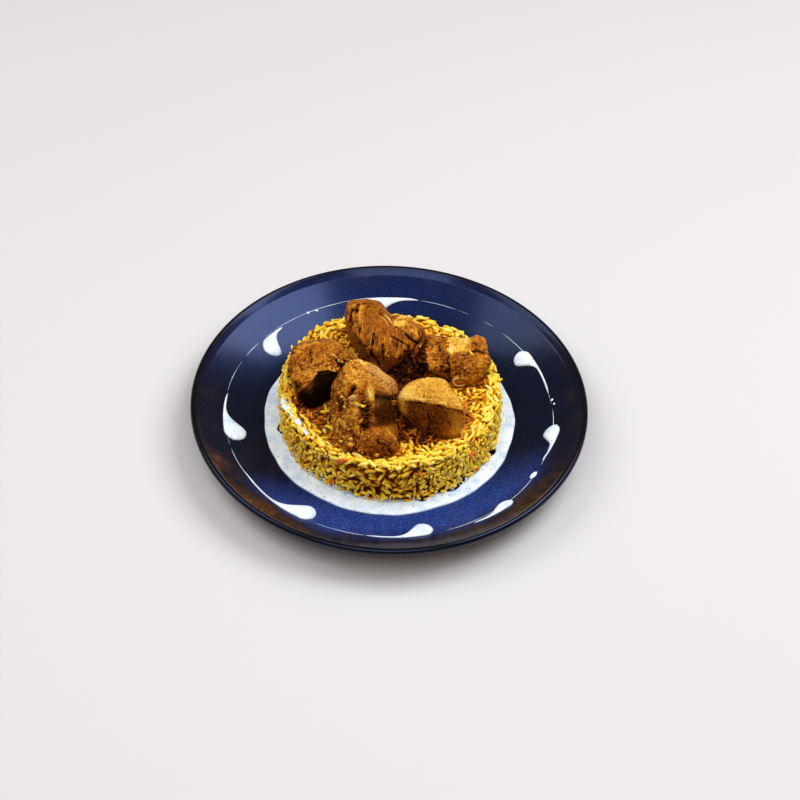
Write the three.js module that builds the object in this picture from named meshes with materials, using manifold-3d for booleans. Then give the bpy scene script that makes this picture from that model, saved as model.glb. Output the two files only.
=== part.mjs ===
// A plate of spiced yellow rice turned out of a round mould, with five chunks of braised beef on top,
// a ring of yoghurt sauce poured round the rice and eight drops of sauce on the slope of the plate.
// Millimetres, +Z up. The origin is on the table under the plate's centre. The eater sits on the -Y side.

import * as THREE from 'three';
import { mergeVertices } from 'three/addons/utils/BufferGeometryUtils.js';
import Module from 'manifold-3d';

const wasm = await Module();
wasm.setup();

// The clearance between pieces that touch
const gap = 0.35;

// The plate: a flat well, a slope that steepens outwards and a rounded lip, on a low foot ring
const plateRadius = 140;
const plateSides = 56;
const wellRadius = 88;
const wellHeight = 7;
const slopeRadius = 134;
const slopeRise = 17.6;
const slopePower = 1.25;
const slopeSteps = 4;
const lipRadius = 2.5;
const lipHeight = 26.4;
const footOuterRadius = 80;
const footInnerRadius = 73;
const footHeight = 2.6;
const footBevel = 1.5;
const underside = [[126, 15.6], [96, 4.4]];

// The rice cake: its wall leans out a little at the base, and its top is dished inside a raised rim
const riceTopRadius = 75.8;
const riceBaseRadius = 77.2;
const riceBaseSwell = { toward: 325, once: 1.3, twice: 0.8 };
const riceRimHeight = 42.6;
const riceRimBumps = [
  { angle: 133, spread: 9, height: 3.2 },
  { angle: 95, spread: 28, height: -5.5 },
  { angle: 63, spread: 5, height: -6 },
  { angle: 45, spread: 14, height: -1.8 },
  { angle: 250, spread: 30, height: -0.7 },
  { angle: 195, spread: 14, height: 1.0 },
];
const riceDish = [[1.4, 0], [6, 0.8], [11, 3.2], [18, 4.6], [76, 5.4]];
const wallSides = 92;
const wallRow = 3.8;
const topSpacing = 4.7;
const bumpHeight = 0.85;
const ringJitter = 0.3;
const rimRounding = 1.6;

// The grains that stand out of the cake's surface
const grainSides = 5;
const grainRadius = 1.15;
const grainLength = [6.6, 8.8];
const grainWaist = 0.27;
const grainStandOut = 0.5;
const grainTilt = 0.3;
const lowestGrain = 14;
const wallGrains = 42;
const topGrains = 54;
const goldenAngle = Math.PI * (3 - Math.sqrt(5));

// The bits of carrot and tomato, by angle and height on the wall, with their turn and size
const carrotBits = [
  { angle: 246.5, height: 40.5, turn: 35, size: [9.5, 3.4, 3] },
  { angle: 210, height: 25, turn: 62, size: [13, 2.8, 2.4] },
  { angle: 240.5, height: 14.5, turn: 50, size: [7, 2.6, 2.2] },
  { angle: 318, height: 31, turn: 20, size: [6, 2.6, 2.2] },
  { angle: 118, height: 30, turn: -40, size: [8, 2.8, 2.4] },
  { angle: 35, height: 24, turn: 25, size: [7, 2.8, 2.2] },
];
const carrotStandOut = 0.2;

// The sauce: a pool round the rice and drops on the slope, all one to three millimetres thick. A drop's
// section is across, as a share of half its width, and up, as a share of its height.
const poolRadius = 89;
const poolWaves = [
  { count: 3, phase: 40, height: 0.45 },
  { count: 7, phase: 10, height: 0.4 },
  { count: 13, phase: 75, height: 0.25 },
];
const poolSides = 56;
const poolClearance = 0.5;
const poolHeight = 2.3;
const poolEdge = 1.1;
const poolBevel = 1;
const poolGaps = [
  { angle: 190, spread: 4, depth: 3 },
  { angle: 288.5, spread: 3, depth: 2.2 },
  { angle: 306, spread: 5, depth: 1.6 },
  { angle: 339, spread: 3.5, depth: 1.6 },
];
const dropGap = 0.5;
const dropTail = { width: 1.3, height: 0.7 };
const tailStations = 5;
const tailCrowding = 1.7;
const headStations = [0.45, 0.8, 0.97];
const dropSection = [[-1, 0.15], [-0.6, 0.9], [0.6, 0.9], [1, 0.15], [0, 0]];
// Each drop runs from its tail's angle to where its head is widest and on to its end. Its outer edge
// goes from one radius to the other, and its head bulges inwards by its width, over a spread in degrees.
const drops = [
  { angles: [134.6, 143.6, 147.6], outer: [115.2, 114.8], width: 15.5, spread: 3.4, height: 3 },
  { angles: [174, 192, 196.3], outer: [116.6, 118.2], width: 16, spread: 6, height: 3.2 },
  { angles: [213, 240.3, 244.2], outer: [116.3, 119.6], width: 18, spread: 6.6, height: 3.2 },
  { angles: [263.8, 283.2, 286.8], outer: [117.2, 118.4], width: 15.5, spread: 5.2, height: 3 },
  { angles: [300.6, 313.6, 316.6], outer: [119, 122], width: 8, spread: 5, height: 2.4 },
  { angles: [339.1, 352, 355.8], outer: [116, 122.4], width: 11, spread: 3.8, height: 2.8 },
  { angles: [11.8, 31.2, 34.8], outer: [116.4, 118.2], width: 12.5, spread: 3.7, height: 2.8 },
  { angles: [80.9, 98, 104], outer: [117, 115.8], width: 13, spread: 7, height: 3 },
];

// The beef: each chunk is the space inside its flat faces, given by the direction they look in, as
// azimuth (0 towards the eater, 90 to the right) and elevation, and their distance from its centre.
// edge says how sharp its edges are, and each dent or lump is a direction, a spread and a height.
// A step raises or sinks what lies beyond all of its planes, each given as a face with a softness.
const beefDetail = 4;
const beefLumpHeight = 0.7;
const beef = [
  {
    name: 'beef_back',
    at: [-3, 34, 57],
    edge: 9,
    seed: 1,
    faces: [
      [-8, -8, 25.6], [180, 5, 25.4], [0, 88, 20.4], [30, 62, 20], [0, -90, 19],
      [-81, -8, 28.8], [-17, -42, 35.4], [59, -26, 17.5], [128, 30, 22.5], [143, 37, 18],
      [176, 43, 28.9], [-97, 6, 37.6], [-58, -18, 23],
    ],
    dents: [[125, 25, 0.45, -1.5], [-127, 27, 0.25, -2], [-162, 45, 0.2, 1.5]],
    steps: [
      { planes: [[94, 3, -1.6, 0.8], [-89, -2, -10.2, 1.2], [144, 40, 13.2, 1]], rise: -3.5 },
      { planes: [[99, 10, 10.6, 0.6], [152, 42, -3.6, 1.5]], rise: 1.6 },
      { planes: [[123, 30, 13.8, 0.8], [-80, -10, -9.3, 0.8]], rise: -1 },
      { planes: [[-85, -4, 17, 0.5]], rise: -1 },
    ],
  },
  {
    name: 'beef_left',
    at: [-44, 7, 53],
    edge: 8,
    seed: 2,
    faces: [
      [3, 22, 27], [180, 0, 17.2], [-20, 75, 16.3], [60, 50, 20], [0, -90, 17], [-71, -17, 29],
      [-15, -42, 44], [63, -23, 24.6], [72, -16, 23.3], [131, 32, 16.9], [166, 42, 19.5],
      [-160, 41, 20.3], [-93, 3, 25.4], [42, -12, 23], [125, -9, 21.3],
    ],
    dents: [],
    steps: [
      { planes: [[61, -27, -2.2, 0.5], [4, -44, 5.2, 0.5]], rise: -3.6 },
    ],
  },
  {
    name: 'beef_front_left',
    at: [-16, -33, 55],
    edge: 8,
    seed: 3,
    faces: [
      [-15, 38, 20.2], [60, 0, 32.4], [20, 86, 25.1], [170, 20, 33.4], [0, -90, 17],
      [-90, 20, 27.8], [-87, -3, 25], [-74, -14, 30.2], [-8, -43, 32], [48, -32, 44.6],
      [86, -3, 35.8], [105, 13, 19], [140, 36, 26.2], [-124, 28, 35.4], [-150, -10, 20.5],
    ],
    dents: [[112, 32, 0.3, 4]],
    steps: [
      { planes: [[90, -1, 5.3, 0.4], [-4, -44, -9.2, 0.4], [144, 37, -10.3, 0.5]], rise: -3 },
      { planes: [[97, 6, 6.5, 0.9], [176, 44, 9.2, 0.4]], rise: 1.4 },
      { planes: [[17, -42, 15.3, 0.6]], rise: 1.2 },
      { planes: [[-36, -37, 10.3, 0.5], [92, 1, 4.8, 0.5]], rise: 2 },
      { planes: [[-72, -15, 11, 1]], rise: -0.8 },
    ],
  },
  {
    name: 'beef_front_right',
    at: [30.6, -31, 55],
    edge: 8,
    seed: 4,
    faces: [
      [-11, 12, 12.8], [178, 0, 19.1], [-10, 62, 16.5], [0, -90, 17], [-83, -6, 26.6],
      [-45, -34, 17.8], [3, -43, 31.7], [63, -23, 25.3], [101, 10, 20.7], [125, 28, 17.9],
      [-180, 43, 19.7], [-129, 31, 24.5],
    ],
    dents: [],
    steps: [],
  },
  {
    name: 'beef_back_right',
    at: [47, 18, 50],
    edge: 8,
    seed: 5,
    faces: [
      [10, 10, 12.6], [180, 0, 13.8], [15, 70, 11], [0, -90, 13], [-34, -38, 15],
      [-2, -43, 20.6], [66, -21, 19.6], [100, 9, 22], [171, 43, 19.8], [-152, 40, 25.2],
      [-102, 11, 28.4],
    ],
    dents: [[125, 50, 0.25, 3]],
    steps: [
      { planes: [[95, 7, -5.8, 0.6]], rise: 1.1 },
      { planes: [[-142, 37, 6.9, 0.8], [97, 9, -6.6, 0.5], [-90, -3, -10, 0.8]], rise: -2 },
      { planes: [[95, 8, 11, 0.6], [-172, 45, 8.9, 0.5]], rise: 0.4 },
    ],
  },
];

const radians = THREE.MathUtils.degToRad;

// A seeded draw between 0 and 1, by a linear congruential rule
function seededDraw(seed) {
  let state = seed;
  return () => {
    state = (state * 1664525 + 1013904223) % 4294967296;
    return state / 4294967296;
  };
}

// How far two angles in degrees lie apart, between 0 and 180
function angleApart(a, b) {
  const turn = Math.abs(a - b) % 360;
  return Math.min(turn, 360 - turn);
}

// A point from its angle in degrees, its distance from the plate's axis and its height
function polarPoint(angle, radius, height) {
  const turn = radians(angle);
  return new THREE.Vector3(radius * Math.cos(turn), radius * Math.sin(turn), height);
}

// A height read from a list of [distance, height] pairs, straight between them
function interpolate(pairs, distance) {
  const next = pairs.findIndex((pair) => pair[0] >= distance);
  if (next === 0) return pairs[0][1];
  if (next < 0) return pairs[pairs.length - 1][1];
  const [from, to] = [pairs[next - 1], pairs[next]];
  return THREE.MathUtils.mapLinear(distance, from[0], to[0], from[1], to[1]);
}

// A closed skin over rings of points, each ring anticlockwise from above and listed from the bottom
// up over the top. A ring of one point closes an end. Rings may differ in their number of points.
function skinGeometry(rings) {
  const positions = rings.flat().flatMap((point) => point.toArray());
  const index = [];
  let start = 0;
  for (let r = 0; r + 1 < rings.length; r += 1) {
    const [low, high] = [rings[r].length, rings[r + 1].length];
    const top = start + low;
    const lowSteps = low > 1 ? low : 0;
    const highSteps = high > 1 ? high : 0;
    let [i, j] = [0, 0];
    while (i < lowSteps || j < highSteps) {
      if (j >= highSteps || (i < lowSteps && (i + 0.5) * high <= (j + 0.5) * low)) {
        index.push(start + i, start + ((i + 1) % low), top + (j % high));
        i += 1;
      } else {
        index.push(start + (i % low), top + ((j + 1) % high), top + j);
        j += 1;
      }
    }
    start = top;
  }
  const geometry = new THREE.BufferGeometry();
  geometry.setAttribute('position', new THREE.Float32BufferAttribute(positions, 3));
  geometry.setIndex(index);
  return geometry;
}

// A closed ring swept through sections that all have the same number of points
function ringGeometry(sections) {
  const count = sections[0].length;
  const positions = sections.flat().flatMap((point) => point.toArray());
  const index = [];
  for (let s = 0; s < sections.length; s += 1) {
    const [here, there] = [s * count, ((s + 1) % sections.length) * count];
    for (let p = 0; p < count; p += 1) {
      const q = (p + 1) % count;
      index.push(here + p, there + p, there + q, here + p, there + q, here + q);
    }
  }
  const geometry = new THREE.BufferGeometry();
  geometry.setAttribute('position', new THREE.Float32BufferAttribute(positions, 3));
  geometry.setIndex(index);
  return geometry;
}

// A geometry as a solid that can be cut or joined
function solidFrom(geometry) {
  const bare = geometry.clone();
  bare.deleteAttribute('normal');
  bare.deleteAttribute('uv');
  const merged = mergeVertices(bare, 1e-4);
  return new wasm.Manifold(new wasm.Mesh({
    numProp: 3,
    vertProperties: new Float32Array(merged.attributes.position.array),
    triVerts: new Uint32Array(merged.index.array),
  }));
}

// A solid back as a geometry
function geometryFrom(solid) {
  const mesh = solid.getMesh();
  const geometry = new THREE.BufferGeometry();
  geometry.setAttribute('position', new THREE.BufferAttribute(mesh.vertProperties, mesh.numProp));
  geometry.setIndex(new THREE.BufferAttribute(mesh.triVerts, 1));
  return geometry;
}

// The height of the plate's upper face at a distance from its axis
function plateTop(radius) {
  const along = Math.max(0, (radius - wellRadius) / (slopeRadius - wellRadius));
  return wellHeight + slopeRise * along ** slopePower;
}

function plateGeometry() {
  const profile = [[0, wellHeight]];
  for (let step = 0; step <= slopeSteps; step += 1) {
    const radius = THREE.MathUtils.lerp(wellRadius, slopeRadius, step / slopeSteps);
    profile.push([radius, plateTop(radius)]);
  }
  for (const turn of [110, 55, 0, -55]) {
    const outward = lipRadius * Math.cos(radians(turn));
    profile.push([plateRadius - lipRadius + outward, lipHeight + lipRadius * Math.sin(radians(turn))]);
  }
  profile.push(...underside);
  profile.push([footOuterRadius, footHeight], [footOuterRadius - footBevel, 0]);
  profile.push([footInnerRadius + footBevel, 0], [footInnerRadius, footHeight], [0, footHeight]);
  const points = profile.reverse().map(([radius, height]) => new THREE.Vector2(radius, height));
  return new THREE.LatheGeometry(points, plateSides).rotateX(Math.PI / 2);
}

// The radius of the rice cake at an angle and a height
function riceRadius(angle, height) {
  const { toward, once, twice } = riceBaseSwell;
  const turn = radians(angle - toward);
  const base = riceBaseRadius + once * Math.cos(turn) + twice * Math.cos(2 * turn);
  const up = THREE.MathUtils.clamp((height - wellHeight) / (riceRimHeight - wellHeight), 0, 1);
  return THREE.MathUtils.lerp(base, riceTopRadius, Math.sqrt(up));
}

// The height of the rice cake's rim at an angle
function riceRim(angle) {
  let height = riceRimHeight;
  for (const bump of riceRimBumps) {
    height += bump.height * Math.exp(-((angleApart(angle, bump.angle) / bump.spread) ** 2));
  }
  return height;
}

// The height of the rice cake's top at an angle and a distance from its axis
function riceTop(angle, radius) {
  return riceRim(angle) - interpolate(riceDish, riceTopRadius - radius);
}

function riceCore() {
  const draw = seededDraw(11);
  const ripple = () => bumpHeight * (2 * draw() - 1);
  const bottom = wellHeight + gap;
  const foot = [];
  for (let side = 0; side < wallSides; side += 1) {
    const angle = (360 * side) / wallSides;
    foot.push(polarPoint(angle, riceRadius(angle, bottom), bottom));
  }
  const rings = [[new THREE.Vector3(0, 0, bottom)], foot];
  const rows = Math.round((riceRimHeight - bottom) / wallRow);
  for (let row = 1; row <= rows; row += 1) {
    const ring = [];
    for (let side = 0; side < wallSides; side += 1) {
      const stagger = row % 2 ? 0.5 : 0;
      const angle = (360 * (side + stagger + ringJitter * (draw() - 0.5))) / wallSides;
      const height = THREE.MathUtils.lerp(bottom, riceRim(angle) - rimRounding / 2, row / rows);
      const swell = row > 1 ? ripple() : 0;
      ring.push(polarPoint(angle, riceRadius(angle, height) + swell, height + 0.5 * ripple()));
    }
    rings.push(ring);
  }
  for (let radius = riceTopRadius - rimRounding; radius > topSpacing / 2; radius -= topSpacing) {
    const count = Math.max(6, Math.round((2 * Math.PI * radius) / topSpacing));
    const ring = [];
    for (let side = 0; side < count; side += 1) {
      const angle = (360 * (side + ringJitter * (draw() - 0.5))) / count;
      ring.push(polarPoint(angle, radius + 0.5 * ripple(), riceTop(angle, radius) + ripple()));
    }
    rings.push(ring);
  }
  rings.push([new THREE.Vector3(0, 0, riceTop(0, 0))]);
  return skinGeometry(rings);
}

// A grain of rice as a thick spindle round its middle, along a direction
function grainGeometry(middle, along, length) {
  const side = new THREE.Vector3(0, 0, 1).cross(along);
  if (side.length() < 0.1) side.set(1, 0, 0);
  side.normalize();
  const other = along.clone().cross(side);
  const rings = [[middle.clone().addScaledVector(along, -length / 2)]];
  for (const place of [-grainWaist, grainWaist]) {
    const ring = [];
    for (let s = 0; s < grainSides; s += 1) {
      const turn = (2 * Math.PI * s) / grainSides;
      const point = middle.clone().addScaledVector(along, place * length);
      point.addScaledVector(side, grainRadius * Math.cos(turn));
      point.addScaledVector(other, grainRadius * Math.sin(turn));
      ring.push(point);
    }
    rings.push(ring);
  }
  rings.push([middle.clone().addScaledVector(along, length / 2)]);
  return skinGeometry(rings);
}

// The direction of a face or a dent from its azimuth and elevation
function facing(azimuth, elevation) {
  const flat = Math.cos(radians(elevation));
  return new THREE.Vector3(
    Math.sin(radians(azimuth)) * flat,
    -Math.cos(radians(azimuth)) * flat,
    Math.sin(radians(elevation)),
  );
}

// The slow swell of a chunk's surface: three crossed waves whose directions follow from its seed
function beefSwell(seed, direction) {
  let swell = 0;
  for (let wave = 1; wave <= 3; wave += 1) {
    const across = facing(137 * wave + 71 * seed, 40 * Math.sin(seed + 2 * wave));
    swell += Math.sin((2 + 1.6 * wave) * across.dot(direction) + 5 * seed + wave) / wave;
  }
  return beefLumpHeight * swell;
}

// How far a chunk's surface lies from its centre in a direction. Each face alone would put it at
// distance / cosine, and the high power takes the nearest face with the edges rounded off.
function beefReach(chunk, direction) {
  let sum = 0;
  for (const [azimuth, elevation, distance] of chunk.faces) {
    sum += Math.max(0, facing(azimuth, elevation).dot(direction) / distance) ** chunk.edge;
  }
  let reach = sum ** (-1 / chunk.edge) + beefSwell(chunk.seed, direction);
  for (const [azimuth, elevation, spread, height] of chunk.dents) {
    const apart = facing(azimuth, elevation).angleTo(direction);
    reach += height * Math.exp(-((apart / spread) ** 2));
  }
  let rise = 0;
  for (const step of chunk.steps) {
    let inside = 1;
    for (const [azimuth, elevation, distance, softness] of step.planes) {
      const beyond = reach * facing(azimuth, elevation).dot(direction) - distance;
      inside /= 1 + Math.exp(-beyond / softness);
    }
    rise += step.rise * inside;
  }
  return reach + rise;
}

function beefGeometry(chunk, grow) {
  const geometry = new THREE.IcosahedronGeometry(1, beefDetail);
  const position = geometry.attributes.position;
  const direction = new THREE.Vector3();
  for (let i = 0; i < position.count; i += 1) {
    direction.fromBufferAttribute(position, i).normalize();
    direction.multiplyScalar(beefReach(chunk, direction) + grow);
    position.setXYZ(i, chunk.at[0] + direction.x, chunk.at[1] + direction.y, chunk.at[2] + direction.z);
  }
  geometry.deleteAttribute('normal');
  geometry.deleteAttribute('uv');
  return mergeVertices(geometry, 1e-4);
}

// Whether a point lies within a clearance of any chunk of beef
function nearBeef(point, clearance) {
  return beef.some((chunk) => {
    const offset = point.clone().sub(new THREE.Vector3(...chunk.at));
    const distance = offset.length();
    return distance < beefReach(chunk, offset.divideScalar(distance)) + clearance;
  });
}

function wallGrain(number, draw) {
  const angle = THREE.MathUtils.radToDeg(number * goldenAngle) % 360;
  const height = THREE.MathUtils.lerp(lowestGrain, riceRim(angle), (number + 0.5) / wallGrains);
  const turn = radians(360 * draw());
  const length = THREE.MathUtils.lerp(...grainLength, draw());
  const middle = polarPoint(angle, riceRadius(angle, height) + grainStandOut, height);
  const across = polarPoint(angle + 90, 1, 0).multiplyScalar(Math.cos(turn));
  const along = across.add(new THREE.Vector3(0, 0, Math.sin(turn)));
  return grainGeometry(middle, along, length);
}

function topGrain(number, draw) {
  const angle = THREE.MathUtils.radToDeg(number * goldenAngle) % 360;
  const radius = (riceTopRadius - grainRadius) * Math.sqrt((number + 0.5) / topGrains);
  const turn = 2 * Math.PI * draw();
  const length = THREE.MathUtils.lerp(...grainLength, draw());
  const middle = polarPoint(angle, radius, riceTop(angle, radius) + grainStandOut);
  if (nearBeef(middle, 0.5 * length + gap)) return null;
  const lift = grainTilt * (2 * draw() - 1);
  const along = new THREE.Vector3(Math.cos(turn), Math.sin(turn), lift).normalize();
  return grainGeometry(middle, along, length);
}

function carrotGeometry({ angle, height, turn, size }) {
  const geometry = new THREE.BoxGeometry(size[0], size[2], size[1]);
  geometry.rotateY(radians(turn));
  geometry.rotateZ(radians(angle + 90));
  const at = polarPoint(angle, riceRadius(angle, height) + carrotStandOut, height);
  return geometry.translate(at.x, at.y, at.z);
}

// The rice with its grains and carrot joined on and the seats of the beef cut out
function riceGeometry() {
  const draw = seededDraw(23);
  let solid = solidFrom(riceCore());
  for (let number = 0; number < wallGrains; number += 1) {
    solid = solid.add(solidFrom(wallGrain(number, draw)));
  }
  for (let number = 0; number < topGrains; number += 1) {
    const grain = topGrain(number, draw);
    if (grain) solid = solid.add(solidFrom(grain));
  }
  for (const bit of carrotBits) solid = solid.add(solidFrom(carrotGeometry(bit)));
  for (const chunk of beef) solid = solid.subtract(solidFrom(beefGeometry(chunk, 2 * gap)));
  const pieces = solid.decompose();
  pieces.sort((a, b) => b.volume() - a.volume());
  return geometryFrom(pieces[0]);
}

// The sauce round the rice: it meets the cake's foot, sinks to a thin round edge and has small gaps
function poolGeometry() {
  const sections = [];
  for (let side = 0; side < poolSides; side += 1) {
    const angle = (360 * side) / poolSides;
    let inner = riceRadius(angle, wellHeight) + poolClearance;
    for (const open of poolGaps) {
      inner += open.depth * Math.exp(-((angleApart(angle, open.angle) / open.spread) ** 2));
    }
    let outer = poolRadius;
    for (const wave of poolWaves) {
      outer += wave.height * Math.sin(radians(wave.count * angle + wave.phase));
    }
    const floor = wellHeight + gap;
    sections.push([
      polarPoint(angle, inner, floor),
      polarPoint(angle, outer - poolBevel, plateTop(outer) + gap),
      polarPoint(angle, outer, plateTop(outer) + gap + poolEdge / 2),
      polarPoint(angle, outer - poolBevel, floor + poolEdge + poolBevel / 2),
      polarPoint(angle, (inner + outer) / 2, wellHeight + poolHeight),
      polarPoint(angle, inner, wellHeight + poolHeight),
    ]);
  }
  return ringGeometry(sections);
}

// A drop of sauce on the slope, from the tip of its tail to its round end
function dropGeometry({ angles, outer, width, spread, height }) {
  const [tail, peak, end] = angles;
  const rings = [];
  const addRing = (angle, swell, round) => {
    const half = round * THREE.MathUtils.lerp(dropTail.width, width, swell) / 2;
    const rise = THREE.MathUtils.lerp(dropTail.height, height, swell * round);
    const edge = THREE.MathUtils.mapLinear(angle, tail, end, outer[0], outer[1]);
    const middle = edge - half / round;
    const onPlate = (across, up) => {
      const radius = middle + across * half;
      return polarPoint(angle, radius, plateTop(radius) + dropGap + up * rise);
    };
    rings.push(dropSection.map(([across, up]) => onPlate(across, up)));
  };
  for (let station = 0; station <= tailStations; station += 1) {
    const along = 1 - (1 - station / tailStations) ** tailCrowding;
    const angle = THREE.MathUtils.lerp(tail, peak, along);
    addRing(angle, Math.exp(-(((angle - peak) / spread) ** 2)), 1);
  }
  for (const place of headStations) {
    addRing(THREE.MathUtils.lerp(peak, end, place), 1, Math.sqrt(1 - place * place));
  }
  const tip = (ring) => [ring[0].clone().add(ring[3]).multiplyScalar(0.5)];
  return skinGeometry([tip(rings[0]), ...rings, tip(rings[rings.length - 1])]);
}

function addPiece(group, name, geometry, finish) {
  const mesh = new THREE.Mesh(geometry, new THREE.MeshStandardMaterial(finish));
  mesh.name = name;
  group.add(mesh);
}

const glaze = { color: '#1c2748', roughness: 0.12, metalness: 0 };
const sauce = { color: '#eef0f0', roughness: 0.3, metalness: 0 };
const cookedRice = { color: '#dcae3c', roughness: 0.5, metalness: 0 };
const braisedBeef = { color: '#96602c', roughness: 0.45, metalness: 0 };

const platter = new THREE.Group();
addPiece(platter, 'plate', plateGeometry(), glaze);
addPiece(platter, 'rice', riceGeometry(), cookedRice);
addPiece(platter, 'sauce_pool', poolGeometry(), sauce);
drops.forEach((drop, i) => addPiece(platter, `sauce_drop_${i + 1}`, dropGeometry(drop), sauce));
for (const chunk of beef) addPiece(platter, chunk.name, beefGeometry(chunk, 0), braisedBeef);

export default platter;
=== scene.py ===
import bpy
import numpy as np
from mathutils import Matrix, Vector


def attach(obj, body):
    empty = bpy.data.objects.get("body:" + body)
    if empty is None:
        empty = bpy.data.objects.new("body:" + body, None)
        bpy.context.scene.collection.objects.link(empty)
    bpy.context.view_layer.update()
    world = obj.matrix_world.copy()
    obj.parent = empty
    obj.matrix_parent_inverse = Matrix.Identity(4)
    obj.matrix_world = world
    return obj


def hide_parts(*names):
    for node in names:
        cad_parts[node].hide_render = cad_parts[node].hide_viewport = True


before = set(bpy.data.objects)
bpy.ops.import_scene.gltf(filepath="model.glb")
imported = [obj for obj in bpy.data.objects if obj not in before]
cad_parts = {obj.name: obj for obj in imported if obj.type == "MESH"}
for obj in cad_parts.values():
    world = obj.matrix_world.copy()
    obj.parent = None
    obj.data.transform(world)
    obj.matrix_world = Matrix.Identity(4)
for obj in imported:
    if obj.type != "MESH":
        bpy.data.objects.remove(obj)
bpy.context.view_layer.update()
body = "root"
metresPerMm = 0.001


# Colours

def hexColour(text):
    # sRGB hex to linear: a channel up to 0.04045 is divided by 12.92, the rest follow the 2.4 power
    srgb = np.array([int(text[i:i + 2], 16) / 255 for i in (1, 3, 5)])
    linear = np.where(srgb <= 0.04045, srgb / 12.92, ((srgb + 0.055) / 1.055) ** 2.4)
    return (*linear.tolist(), 1.0)


# Meshes

noTriangles = np.zeros((0, 3), int)


def gridFaces(rows, columns, wrapRows=False):
    # Quads between neighbouring rows and columns of a grid whose columns close into a ring
    r = np.arange(rows if wrapRows else rows - 1)[:, None]
    c = np.arange(columns)[None, :]
    nextRow = (r + 1) % rows
    nextColumn = (c + 1) % columns
    corners = [r * columns + c, r * columns + nextColumn,
               nextRow * columns + nextColumn, nextRow * columns + c]
    return np.stack([np.broadcast_to(k, (len(r), columns)) for k in corners], -1).reshape(-1, 4)


def closedSkin(rings):
    # rings is (copies, rows, columns, 3). Each copy becomes a closed skin: its rows are joined by quads, and
    # its first and last rows are closed by a fan to their mean point. Gives points, quads and triangles.
    copies, rows, columns, _ = rings.shape
    poles = rings[:, [0, -1]].mean(2)
    points = np.concatenate([rings.reshape(copies, -1, 3), poles], 1)
    perCopy = rows * columns + 2
    start = (np.arange(copies) * perCopy)[:, None, None]
    quads = start + gridFaces(rows, columns)[None]
    here = np.arange(columns)
    there = (here + 1) % columns
    last = (rows - 1) * columns
    firstFan = np.stack([there, here, np.full(columns, rows * columns)], -1)
    lastFan = np.stack([last + here, last + there, np.full(columns, rows * columns + 1)], -1)
    fans = start + np.concatenate([firstFan, lastFan])[None]
    return points.reshape(-1, 3), quads.reshape(-1, 4), fans.reshape(-1, 3)


def makePiece(name, points, quads, triangles, material, slotName, attributes=None, replaced=()):
    # A mesh object from whole arrays, at the origin, with smooth shading and its named point attributes
    mesh = bpy.data.meshes.new(name)
    corners = np.concatenate([quads.ravel(), triangles.ravel()]).astype(np.int32)
    sizes = np.concatenate([np.full(len(quads), 4), np.full(len(triangles), 3)]).astype(np.int32)
    mesh.vertices.add(len(points))
    mesh.vertices.foreach_set("co", (points * metresPerMm).astype(np.float32).ravel())
    mesh.loops.add(len(corners))
    mesh.loops.foreach_set("vertex_index", corners)
    mesh.polygons.add(len(sizes))
    mesh.polygons.foreach_set("loop_start", np.concatenate([[0], np.cumsum(sizes)[:-1]]).astype(np.int32))
    mesh.polygons.foreach_set("loop_total", sizes)
    mesh.polygons.foreach_set("use_smooth", np.ones(len(sizes), bool))
    mesh.update(calc_edges=True)
    for key, values in (attributes or {}).items():
        kind, field = ("FLOAT_VECTOR", "vector") if values.ndim == 2 else ("FLOAT", "value")
        layer = mesh.attributes.new(key, kind, "POINT")
        layer.data.foreach_set(field, values.astype(np.float32).ravel())
    mesh.materials.append(material)
    piece = bpy.data.objects.new(name, mesh)
    bpy.context.scene.collection.objects.link(piece)
    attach(piece, body)
    if replaced:
        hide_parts(*replaced)


def latticeNoise(points, seed):
    # Smooth noise from -1 to 1: a draw at each whole-number corner, blended between them by three times the
    # square of the way along less twice its cube
    cell = np.floor(points).astype(np.int64)
    along = points - cell
    along = along * along * (3 - 2 * along)
    total = np.zeros(points.shape[:-1])
    for corner in range(8):
        step = np.array([corner & 1, corner >> 1 & 1, corner >> 2 & 1])
        at = cell + step
        mixed = at[..., 0] * 73856093 ^ at[..., 1] * 19349663 ^ at[..., 2] * 83492791 ^ seed * 26544357
        mixed = (mixed ^ mixed >> 13) * 1274126177 & 0x7FFFFFFF
        draw = ((mixed ^ mixed >> 16) & 0xFFFF) / 32767.5 - 1
        total += draw * np.where(step, along, 1 - along).prod(-1)
    return total


def latticeVectors(points, shift, seed):
    # Three noises for every point, each from its own seed and place
    return np.stack([latticeNoise(points + shift * k, seed + k) for k in range(3)], -1)


def bell(distance, spread):
    # 1 at no distance, falling to nothing: e to the power of minus the square of distance over spread
    return np.exp(-((distance / spread) ** 2))


def circleAngles(count):
    # Evenly spaced angles round a circle, in radians
    return np.linspace(0, 2 * np.pi, count, endpoint=False)


def unit(vectors):
    # The same directions at length 1
    return vectors / np.linalg.norm(vectors, axis=-1)[..., None]


def resampled(rows, count):
    # Rows of figures, interpolated at evenly spaced places from the first to the last
    fine = np.linspace(0, len(rows) - 1, count)
    return np.stack([np.interp(fine, np.arange(len(rows)), column) for column in rows.T], -1)


def polarPoints(angle, radius, height):
    # Points from an angle in degrees, a distance from the plate's axis and a height
    turn = np.radians(angle)
    return np.stack(np.broadcast_arrays(radius * np.cos(turn), radius * np.sin(turn), height), -1)


def angleApart(a, b):
    # How far two angles in degrees lie apart, from 0 to 180
    turn = np.abs(a - b) % 360
    return np.minimum(turn, 360 - turn)


# Materials

nodeChoices = {"Math": "operation", "VectorMath": "operation", "Mix": "data_type",
               "MapRange": "interpolation_type", "Attribute": "attribute_name"}


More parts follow.
